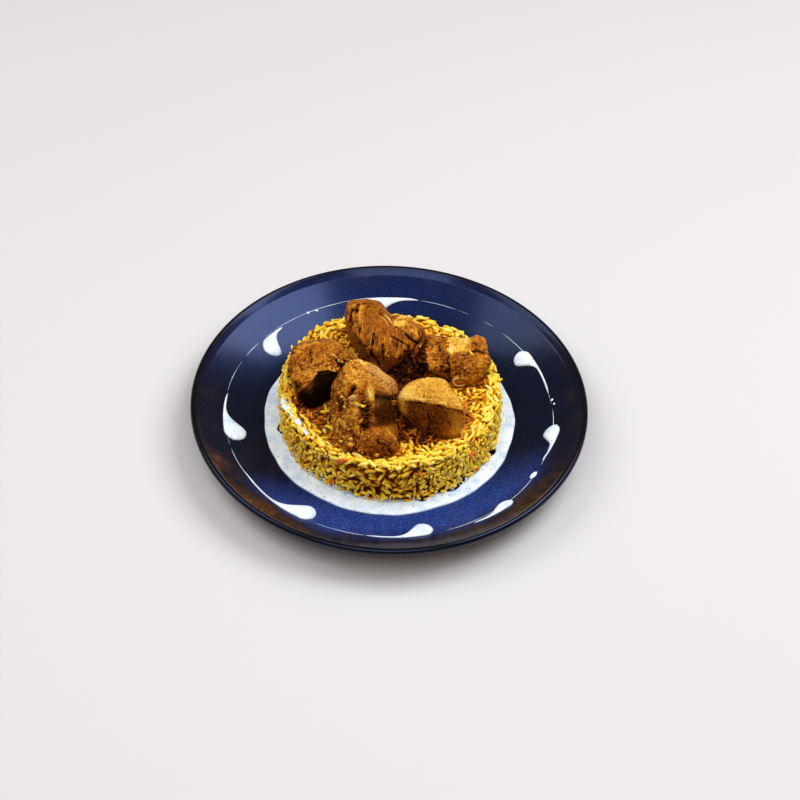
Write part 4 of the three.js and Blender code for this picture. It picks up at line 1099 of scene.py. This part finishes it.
def beefReach(chunk, directions):
    # How far the surface lies from the centre: the nearest face's distance over the cosine to it, with the
    # edges rounded by a high power mean, plus three slow crossed waves and the bell-shaped dents
    reach = (faceShares(chunk, directions) ** chunk["edge"]).sum(1) ** (-1 / chunk["edge"])
    seed = chunk["seed"]
    for wave in (1, 2, 3):
        across = directions @ facing(137.0 * wave + 71 * seed, 40 * np.sin(seed + 2 * wave))
        reach = reach + beefLook["lumpHeight"] * np.sin((2 + 1.6 * wave) * across + 5 * seed + wave) / wave
    for azimuth, elevation, spread, height in chunk["dents"]:
        reach = reach + height * bell(np.radians(angleBetween(directions, azimuth, elevation)), spread)
    ground = directions * reach[:, None]
    return reach + sum(rise * beyondPlanes(planes, ground) for planes, rise, _, _ in chunk["steps"])


def beyondPlanes(planes, points):
    # 1 for points beyond all the planes and 0 elsewhere. Each plane gives one over the sum of one and e to
    # the power of minus distance over softness, and the planes are multiplied.
    inside = np.ones(len(points))
    for azimuth, elevation, distance, softness in planes:
        past = points @ facing(azimuth, elevation) - distance
        inside = inside / (1 + np.exp(-np.clip(past / softness, -30, 30)))
    return inside


def pathDistance(points, path):
    # The distance from each point to the nearest stretch of a path
    best = np.full(len(points), 999.0)
    for start, end in zip(path[:-1], path[1:]):
        stretch = end - start
        share = np.clip((points - start) @ stretch / (stretch @ stretch), 0, 1)
        best = np.minimum(best, np.linalg.norm(points - start - share[:, None] * stretch, axis=1))
    return best


def beefSkin(chunk, directions):
    # The chunk's surface and its looks in given directions. Muscle bundles and single fibres are folded
    # noise, one less twice its size, stretched along the fibres, so they are rounded ribs with sharp valleys
    # between them. Creases are bell-shaped grooves along a path, painted darker as shade.
    look = beefLook
    seed = chunk["seed"]
    ground = directions * beefReach(chunk, directions)[:, None]
    bent = ground + look["warp"] * latticeVectors(ground / look["warpLength"], 5, 90 + seed)
    fibre = facing(*chunk["fibres"])
    along = (bent @ fibre)[:, None] * fibre
    across = bent - along
    bundleAt = across / look["bundle"] + along / (look["bundle"] * look["bundleStretch"])
    fibreAt = across / look["fibre"] + along / (look["fibre"] * look["fibreStretch"])
    bundles = np.maximum(1 - 2 * np.abs(latticeNoise(bundleAt, 50 + seed)), look["bundleFloor"])
    fibres = 1 - 2 * np.abs(latticeNoise(fibreAt, 60 + seed))
    show = 0.5 + 0.5 * latticeNoise(ground / look["show"] + 3, 65 + seed)
    lumps = latticeNoise(ground / look["lump"], 70 + seed)
    layerAt = across / look["layer"] + along / (1.6 * look["layer"])
    level = look["layers"] * latticeNoise(layerAt + 13, 72 + seed)
    part = level - np.floor(level)
    torn = np.floor(level) + np.clip(5 * part, 0, 1)
    grit = latticeNoise(across / look["grit"] + along / (2.6 * look["grit"]) + 11, 75 + seed)
    gritty = np.clip(0.45 + 0.9 * latticeNoise(ground / look["gritty"] + 2, 77 + seed), 0, 1)
    pits = np.clip((grit - 0.2) / 0.25, 0, 1) * gritty
    crumbs = np.clip((-0.2 - grit) / 0.25, 0, 1) * gritty
    relief = -look["bundleHeight"] * (1 - bundles) * show - look["fibreHeight"] * (1 - fibres)
    relief = relief + look["lumpRise"] * lumps + look["layerRise"] * (torn / look["layers"])
    relief = relief + look["gritRise"] * (crumbs - pits) + 0.7
    creaseShading = 0.0 * relief
    dip = 0.0 * relief
    for width, depth, path in chunk["creases"]:
        track = np.unwrap(np.array(path, float), period=360, axis=0)
        heading = facing(*resampled(track, 5 * len(track)).T)
        nodes = heading * beefReach(chunk, heading)[:, None]
        nodes = nodes + look["ragged"] * latticeVectors(nodes / 2.5, 9, seed)
        trench = bell(pathDistance(ground, nodes), 0.75 * width)
        trench = trench * np.clip(0.6 + 1.2 * latticeNoise(ground / 4.5 + 21, 78 + seed), 0.1, 1)
        dip = dip + (1.3 if depth > 0 else 0.7) * depth * trench
        creaseShading = creaseShading + np.clip(depth / 1.2, -0.4, 1) * trench
    # Tone by the nearest face: dark on faces turned down and away from the lamps, partly searing and partly
    # painted shade
    shares = faceShares(chunk, directions) ** (7 * chunk["edge"])
    tone = shares @ np.array([face[3] for face in chunk["faces"]]) / shares.sum(1)
    rough = chunk["rough"] + 0.0 * tone
    # The steps' edges are ragged, so their tone is taken at places that are pushed about a little
    ragged = np.stack([latticeNoise(ground / 2.6 + 4 * k, 95 + seed) for k in range(3)], -1)
    ragged = ground + look["ragged"] * ragged
    # A step's own tone: in the recesses it is painted shade
    for planes, _, ownTone, smooth in chunk["steps"]:
        inside = beyondPlanes(planes, ragged)
        tone = tone + (ownTone - tone) * inside
        rough = rough * (1 - smooth * inside)
    fat = 0.0 * tone
    red = 0.0 * tone
    for azimuth, elevation, spread, addTone, addFat, addRed in chunk["patches"]:
        near = bell(angleBetween(directions, azimuth, elevation), spread)
        tone, fat, red = tone + addTone * near, fat + addFat * near, red + addRed * near
    # Painted light and shade from the relief: ribs, lumps and crumbs are painted paler, valleys, pits, the
    # torn steps' edges and creases darker. The blotches are the meat's own.
    blotch = latticeNoise(ground / look["blotch"] + 7, 80 + seed)
    blotchAndReliefShade = 0.08 * blotch + 0.07 * lumps + 0.14 * (bundles - 0.6) * show + 0.2 * (fibres - 0.5)
    tone = tone + look["paler"] + rough * blotchAndReliefShade
    tone = tone + rough * (0.14 * crumbs - 0.08 * pits - 0.06 * (part < 0.2))
    # Painted shade in the creases
    tone = tone - look["creaseShade"] * np.minimum(creaseShading, 1)
    points = ground + directions * (rough * relief - dip)[:, None]
    return points, np.clip(tone, -0.3, 1), np.clip(fat, 0, 1), np.clip(red, 0, 1), fibreAt


def beefDistance(points):
    # How far points lie outside the nearest chunk, along the line to its centre. It is negative inside.
    best = np.full(len(points), 999.0)
    for chunk in beefChunks.values():
        offset = points - np.array(chunk["at"], float)
        distance = np.linalg.norm(offset, axis=1)
        near = distance < 48
        if near.any():
            gap = distance[near] - beefReach(chunk, offset[near] / distance[near, None])
            best[near] = np.minimum(best[near], gap)
    return best


def ballDirections(steps):
    # Directions spread over a ball: a square grid on each side of a cube, its lines spaced by equal angles,
    # pushed out to the ball. Points shared by two sides are merged. Returns directions and quads.
    line = np.tan(np.linspace(-1, 1, steps + 1) * np.pi / 4)
    u, v = (k.ravel() for k in np.meshgrid(line, line, indexing="ij"))
    one = np.ones_like(u)
    sides = [(one, u, v), (-one, v, u), (v, one, u), (u, -one, v), (u, v, one), (v, u, -one)]
    corner = np.arange(steps)[:, None] * (steps + 1) + np.arange(steps)[None, :]
    quad = np.stack([corner, corner + steps + 1, corner + steps + 2, corner + 1], -1).reshape(-1, 4)
    quads = np.concatenate([quad + k * (steps + 1) ** 2 for k in range(6)])
    whole = np.concatenate([np.stack(side, -1) for side in sides])
    rounded = np.round(whole * 1e5).astype(np.int64)
    _, first, merged = np.unique(rounded, axis=0, return_index=True, return_inverse=True)
    directions = whole[first]
    return unit(directions), merged.ravel()[quads]


def braisedBeefMaterial():
    # Beef braised in spiced stock: brown muscle whose fibres show as fine streaks, golden where fat and
    # saffron stayed on top and almost black-brown where it was seared, with scraps of pale fat and a thin
    # moist film. Its tone also carries painted light and shade: near black in recesses, darker in creases,
    # pits and on faces turned from the lamps, paler on ribs and crumbs.
    look = beefLook
    material, tree, shader = newMaterial("braised beef")
    tone, fat, red = (addNode(tree, "Attribute", key)["Fac"] for key in beefShares)
    fibreAt = addNode(tree, "Attribute", "fibreAt")["Vector"]
    place = addNode(tree, "TexCoord")["Object"]
    streak = addNode(tree, "TexNoise", Vector=fibreAt, Scale=1.3, Detail=5.0, Roughness=0.7)["Fac"]
    # Pores and crumbs of the surface, about two millimetres apart and finer
    pore = addNode(tree, "TexNoise", Vector=place, Scale=520.0, Detail=5.0, Roughness=0.7)["Fac"]
    rough = addNode(tree, "Math", "MULTIPLY_ADD", streak, 0.6, tone)[0]
    rough = addNode(tree, "Math", "MULTIPLY_ADD", pore, 0.26, rough)[0]
    level = addNode(tree, "Math", "SUBTRACT", rough, 0.48)[0]
    torn = addNode(tree, "Math", "MULTIPLY_ADD", pore, 2.4, -1.2)[0]
    fatty = addNode(tree, "Math", "ADD", torn, fat, clamp=True)[0]
    fatty = addNode(tree, "Math", "MULTIPLY", fatty, fat, clamp=True)[0]
    reddish = addNode(tree, "Math", "MULTIPLY", red, streak)[0]
    colour = addRamp(tree, level, look["tones"])
    for share, over in ((fatty, look["fat"]), (reddish, look["red"])):
        colour = addNode(tree, "Mix", "RGBA", Factor=share, A=colour, B=hexColour(over))["Result"]
    height = addNode(tree, "Math", "MULTIPLY_ADD", pore, 0.7, streak)[0]
    bump = addNode(tree, "Bump", Height=height, Strength=0.9, Distance=0.0007)[0]
    gloss = addNode(tree, "MapRange", None, pore, *look["gloss"])[0]
    shine = addNode(tree, "MapRange", None, tone, *look["shine"])[0]
    fillInputs(tree, shader, Base_Color=colour, Normal=bump, Roughness=gloss, IOR=1.4,
               Specular_IOR_Level=shine, Specular_Tint=hexColour(look["tint"]))
    return material


def makeChunk(name, chunk, material, directions, quads):
    # A chunk of meat: its skin in every direction from its centre
    points, *looks = beefSkin(chunk, directions)
    attributes = dict(zip((*beefShares, "fibreAt"), looks))
    points = points + np.array(chunk["at"], float)
    makePiece(f"{name}_meat", points, quads, noTriangles, material, "beef", attributes, [name])


def lumpyBalls(draw, centres, sizes):
    # Small balls, stretched to their sizes, dented by noise and turned freely
    rows, quads = ballDirections(4)
    count = len(centres)
    first = np.arange(count)[:, None, None]
    dents = 1 + 0.3 * latticeNoise(rows[None] * 1.4 + 9 * first, 12)
    ball = rows[None] * sizes[:, None] * dents[..., None]
    turns = np.linalg.qr(draw.normal(size=(count, 3, 3)))[0]
    turns = turns * np.linalg.det(turns)[:, None, None]
    points = centres[:, None] + np.einsum("nij,nkj->nki", turns, ball)
    return points.reshape(-1, 3), (quads[None] + len(rows) * first).reshape(-1, 4), len(rows)


def makeCrumbs(draw, material):
    # Crumbs of meat and broken rice stuck to the beef, half sunk
    centres, sizes, tones, fats = [], [], [], []
    for chunk in beefChunks.values():
        for azimuth, elevation, spread, count, large in chunk["crumbs"]:
            heading = facing(azimuth + draw.normal(0, spread, count),
                             elevation + draw.normal(0, spread, count))
            ground, under = beefSkin(chunk, heading)[:2]
            # None in the recess painted black as shade, and none on the very top, where it would stand out of
            # the outline
            lit = (under > 0.1) & (ground[:, 2] + chunk["at"][2] < beefLook["crumbTop"])
            size = draw.uniform(*beefLook["crumbSize"], (count, 3))
            size = size * draw.uniform(0.7, 1.3, (count, 1)) * large
            size[:, 0] *= draw.uniform(1, 2.2, count)
            centres.append((ground + 0.1 * heading + np.array(chunk["at"], float))[lit])
            sizes.append(size[lit])
            tones.append(draw.uniform(0.36, 0.78, count)[lit] + 0.06 * large)
            fats.append((draw.uniform(0, 0.8, count) ** 2)[lit])
    points, quads, each = lumpyBalls(draw, np.concatenate(centres), np.concatenate(sizes))
    attributes = {"beefToneAndShade": np.repeat(np.concatenate(tones), each), "beefRed": np.zeros(len(points)),
                  "beefFat": np.repeat(np.concatenate(fats), each), "fibreAt": points / 2}
    makePiece("beef_crumbs", points, quads, noTriangles, material, "beef", attributes)


def makeThreads(material):
    # Sinews and threads in named places: a round section carried along a path over the skin
    rings, looks = [], []
    rows, columns = beefLook["threadGrid"]
    for chunk in beefChunks.values():
        for radius, tone, fat, red, path in chunk["threads"]:
            heading = unit(resampled(facing(*np.array(path, float).T), rows))
            centre = beefSkin(chunk, heading)[0] + 0.5 * radius * heading
            centre[1:-1] = (centre[:-2] + centre[1:-1] + centre[2:]) / 3
            course = np.gradient(centre, axis=0)
            aside = np.cross(heading, course)
            aside = unit(aside)
            width = radius * (1.03 - np.linspace(-1, 1, rows) ** 2)[:, None, None] ** 0.4
            turn = circleAngles(columns)[:, None]
            ring = aside[:, None] * np.cos(turn) + heading[:, None] * np.sin(turn)
            rings.append(centre[:, None] + width * ring + np.array(chunk["at"], float))
            looks.append((tone, fat, red))
    points, quads, fans = closedSkin(np.stack(rings))
    each = len(points) // len(rings)
    attributes = {key: np.repeat(values, each) for key, values in zip(beefShares, np.array(looks).T)}
    makePiece("beef_threads", points, quads, fans, material, "beef", {**attributes, "fibreAt": points / 2})


def makeFroth(draw, yoghurt):
    # Beads of sauce that cling to the rice just above the pool, fewer the higher they are
    angle = np.concatenate([draw.normal(at, spread, count) for at, spread, count in sauceLook["froth"]])
    up = draw.exponential(1.3, len(angle))
    height = plateTop(80.0) + sauceLook["poolHeight"] - 0.2 + up
    out = riceRadius(angle, height) + draw.uniform(0.2, 1.6, len(angle))
    sizes = draw.uniform(0.3, 0.95, (len(angle), 3))
    points, quads, _ = lumpyBalls(draw, polarPoints(angle, out, height), sizes)
    makePiece("yoghurt_froth", points, quads, noTriangles, yoghurt, "sauce")


def makeStrands(draw, material):
    # Loose fibres that lie on the meat: each follows the fibre direction over the chunk's own surface as an
    # arc of directions, sinks in at its ends and stands out by a sine of its length between them
    look = beefLook
    allRings, allTones, allFibres = [], [], []
    rows, columns = look["strandGrid"]
    each = rows * columns + 2
    s = np.linspace(-0.5, 0.5, rows)
    turn = circleAngles(columns)
    for chunk in beefChunks.values():
        count = look["strands"]
        heading = draw.normal(size=(count, 3))
        heading = unit(heading)
        heading[:, 2] = np.abs(heading[:, 2]) - 0.25
        heading = unit(heading)
        fibre = facing(*chunk["fibres"]) + draw.normal(0, 0.25, (count, 3))
        course = fibre - (fibre * heading).sum(1)[:, None] * heading
        course = unit(course)
        length = draw.uniform(*look["strandLength"], count) / look["usualReach"]
        path = heading[:, None] + course[:, None] * (length[:, None] * s)[..., None]
        aside = np.cross(heading, course)
        path = path + aside[:, None] * (0.05 * draw.normal(size=(count, 1)) * np.cos(np.pi * s))[..., None]
        path = unit(path)
        points, tone, _, _, fibreAt = beefSkin(chunk, path.reshape(-1, 3))
        stand = (0.22 * np.cos(np.pi * s) - 0.14)[None] * np.ones((count, 1))
        centre = points.reshape(path.shape) + path * stand[..., None] + np.array(chunk["at"], float)
        radius = draw.uniform(*look["strandRadius"], count)[:, None]
        radius = radius * np.sqrt(np.maximum(0.05, 1 - (2 * s) ** 2))
        ring = aside[:, None, None] * np.cos(turn)[:, None] + path[:, :, None] * np.sin(turn)[:, None]
        allRings.append(centre[:, :, None] + radius[..., None, None] * ring)
        lift = tone.reshape(count, -1).mean(1) + draw.normal(0.03, 0.08, count)
        allTones.append(np.repeat(lift, each))
        allFibres.append(np.repeat(fibreAt.reshape(count, rows, 3).mean(1), each, axis=0))
    tones = np.clip(np.concatenate(allTones), 0, 1)
    none = np.zeros_like(tones)
    attributes = {"beefToneAndShade": tones, "beefFat": none, "beefRed": none, "fibreAt": np.concatenate(allFibres)}
    makePiece("beef_strands", *closedSkin(np.concatenate(allRings)), material, "beef", attributes)


# The camera, the lights and the floor

viewLook = {
    # The photo's view: elevation, roll, distance, and the offset of the aim in pixels
    "elevation": 46.86881, "roll": 2.04543, "distance": 1570.0, "aimRight": -11.3949, "aimUp": 27.2536,
    "focalPixels": 2200.0, "imagePixels": 800.0, "sensor": 36.0,
    # Softboxes: name, place, size, power and colour
    "lamps": [("lamp_right", (0.9, 0.3, 1.5), (1.1, 1.1), 25.0, "#fbfcff"),
              ("lamp_left", (-0.95, 0.2, 1.35), (1.0, 1.0), 11.0, "#fbfcff"),
              ("lamp_front", (-0.1, -0.9, 1.7), (1.3, 1.0), 14.0, "#fffefc")],
    "surround": "#ffdab2", "surroundStrength": 0.24,
    # The table's half width is in metres, like the lamps' places
    "table": "#cfd0d4", "tableReach": 6.0,
}


def makeCamera():
    # The camera looks at the origin from in front and above, is rolled, and is then turned by two small
    # angles, each the arc tangent of an offset in pixels over the focal length in pixels
    look = viewLook
    tilt, roll = np.radians(look["elevation"]), np.radians(look["roll"])
    a, b = (np.arctan2(look[key], look["focalPixels"]) for key in ("aimRight", "aimUp"))
    back = np.array([0, -np.cos(tilt), np.sin(tilt)])
    right = np.array([1.0, 0, 0])
    rolled = np.array([[np.cos(roll), np.sin(roll), 0], [-np.sin(roll), np.cos(roll), 0], [0, 0, 1]])
    turnA = np.array([[np.cos(a), 0, -np.sin(a)], [0, 1, 0], [np.sin(a), 0, np.cos(a)]])
    turnB = np.array([[1, 0, 0], [0, np.cos(b), np.sin(b)], [0, -np.sin(b), np.cos(b)]])
    axes = turnB @ turnA @ rolled @ np.array([right, np.cross(back, right), back])
    lens = bpy.data.cameras.new("camera")
    lens.sensor_width = look["sensor"]
    lens.lens = look["focalPixels"] / look["imagePixels"] * look["sensor"]
    camera = bpy.data.objects.new("camera", lens)
    place = Matrix(axes.T.tolist()).to_4x4()
    place.translation = Vector((back * look["distance"] * metresPerMm).tolist())
    camera.matrix_world = place
    bpy.context.scene.collection.objects.link(camera)
    bpy.context.scene.camera = camera


def makeStudio():
    # Three softboxes, an even surround and a plain pale table, which isn't part of the object
    look = viewLook
    for name, place, size, power, colour in look["lamps"]:
        lamp = bpy.data.lights.new(name, "AREA")
        lamp.shape = "RECTANGLE"
        lamp.size, lamp.size_y = size
        lamp.energy = power
        lamp.color = hexColour(colour)[:3]
        holder = bpy.data.objects.new(name, lamp)
        holder.location = place
        holder.rotation_euler = (Vector(place) - Vector((0, 0, 0.02))).to_track_quat("Z", "Y").to_euler()
        bpy.context.scene.collection.objects.link(holder)
    world = bpy.data.worlds.new("studio")
    world.use_nodes = True
    fillInputs(world.node_tree, world.node_tree.nodes["Background"], Color=hexColour(look["surround"]),
               Strength=look["surroundStrength"])
    bpy.context.scene.world = world
    reach = look["tableReach"]
    floorMesh = bpy.data.meshes.new("table")
    corners = [(-reach, -reach, 0), (reach, -reach, 0), (reach, reach, 0), (-reach, reach, 0)]
    floorMesh.from_pydata(corners, [], [(0, 1, 2, 3)])
    floor = bpy.data.objects.new("table", floorMesh)
    # Smooth matt paint: one pale colour with no shine, on which only the shadow shows
    material, tree, shader = newMaterial("matt white table")
    fillInputs(tree, shader, Base_Color=hexColour(look["table"]), Roughness=0.85)
    floorMesh.materials.append(material)
    bpy.context.scene.collection.objects.link(floor)
    bpy.context.scene.view_settings.view_transform = "Standard"


# Putting it together

makePlate()
print("plate made")
yoghurt = yoghurtMaterial()
makePool(yoghurt)
for number, drop in enumerate(sauceLook["drops"], 1):
    makeDrop(number, drop, yoghurt)
makeLine(yoghurt)
makeDots(yoghurt)
makeSmear(yoghurt)
print("sauce made")
riceMaterials = {name: cookedRiceMaterial(f"saffron basmati, {name}", stops, 0.3)
                 for name, stops in riceLook["kinds"].items()}
makeRiceCore(cookedRiceMaterial("saffron basmati, packed", riceLook["packed"], 0.0))
makeGrains(np.random.default_rng(7), riceMaterials)
makeCarrot()
print("rice made")
braisedBeef = braisedBeefMaterial()
ball, ballQuads = ballDirections(beefLook["steps"])
for chunkName, chunkLook in beefChunks.items():
    makeChunk(chunkName, chunkLook, braisedBeef, ball, ballQuads)
makeCrumbs(np.random.default_rng(11), braisedBeef)
makeThreads(braisedBeef)
makeFroth(np.random.default_rng(12), yoghurt)
makeStrands(np.random.default_rng(11), braisedBeef)
print("beef made")
makeCamera()
makeStudio()
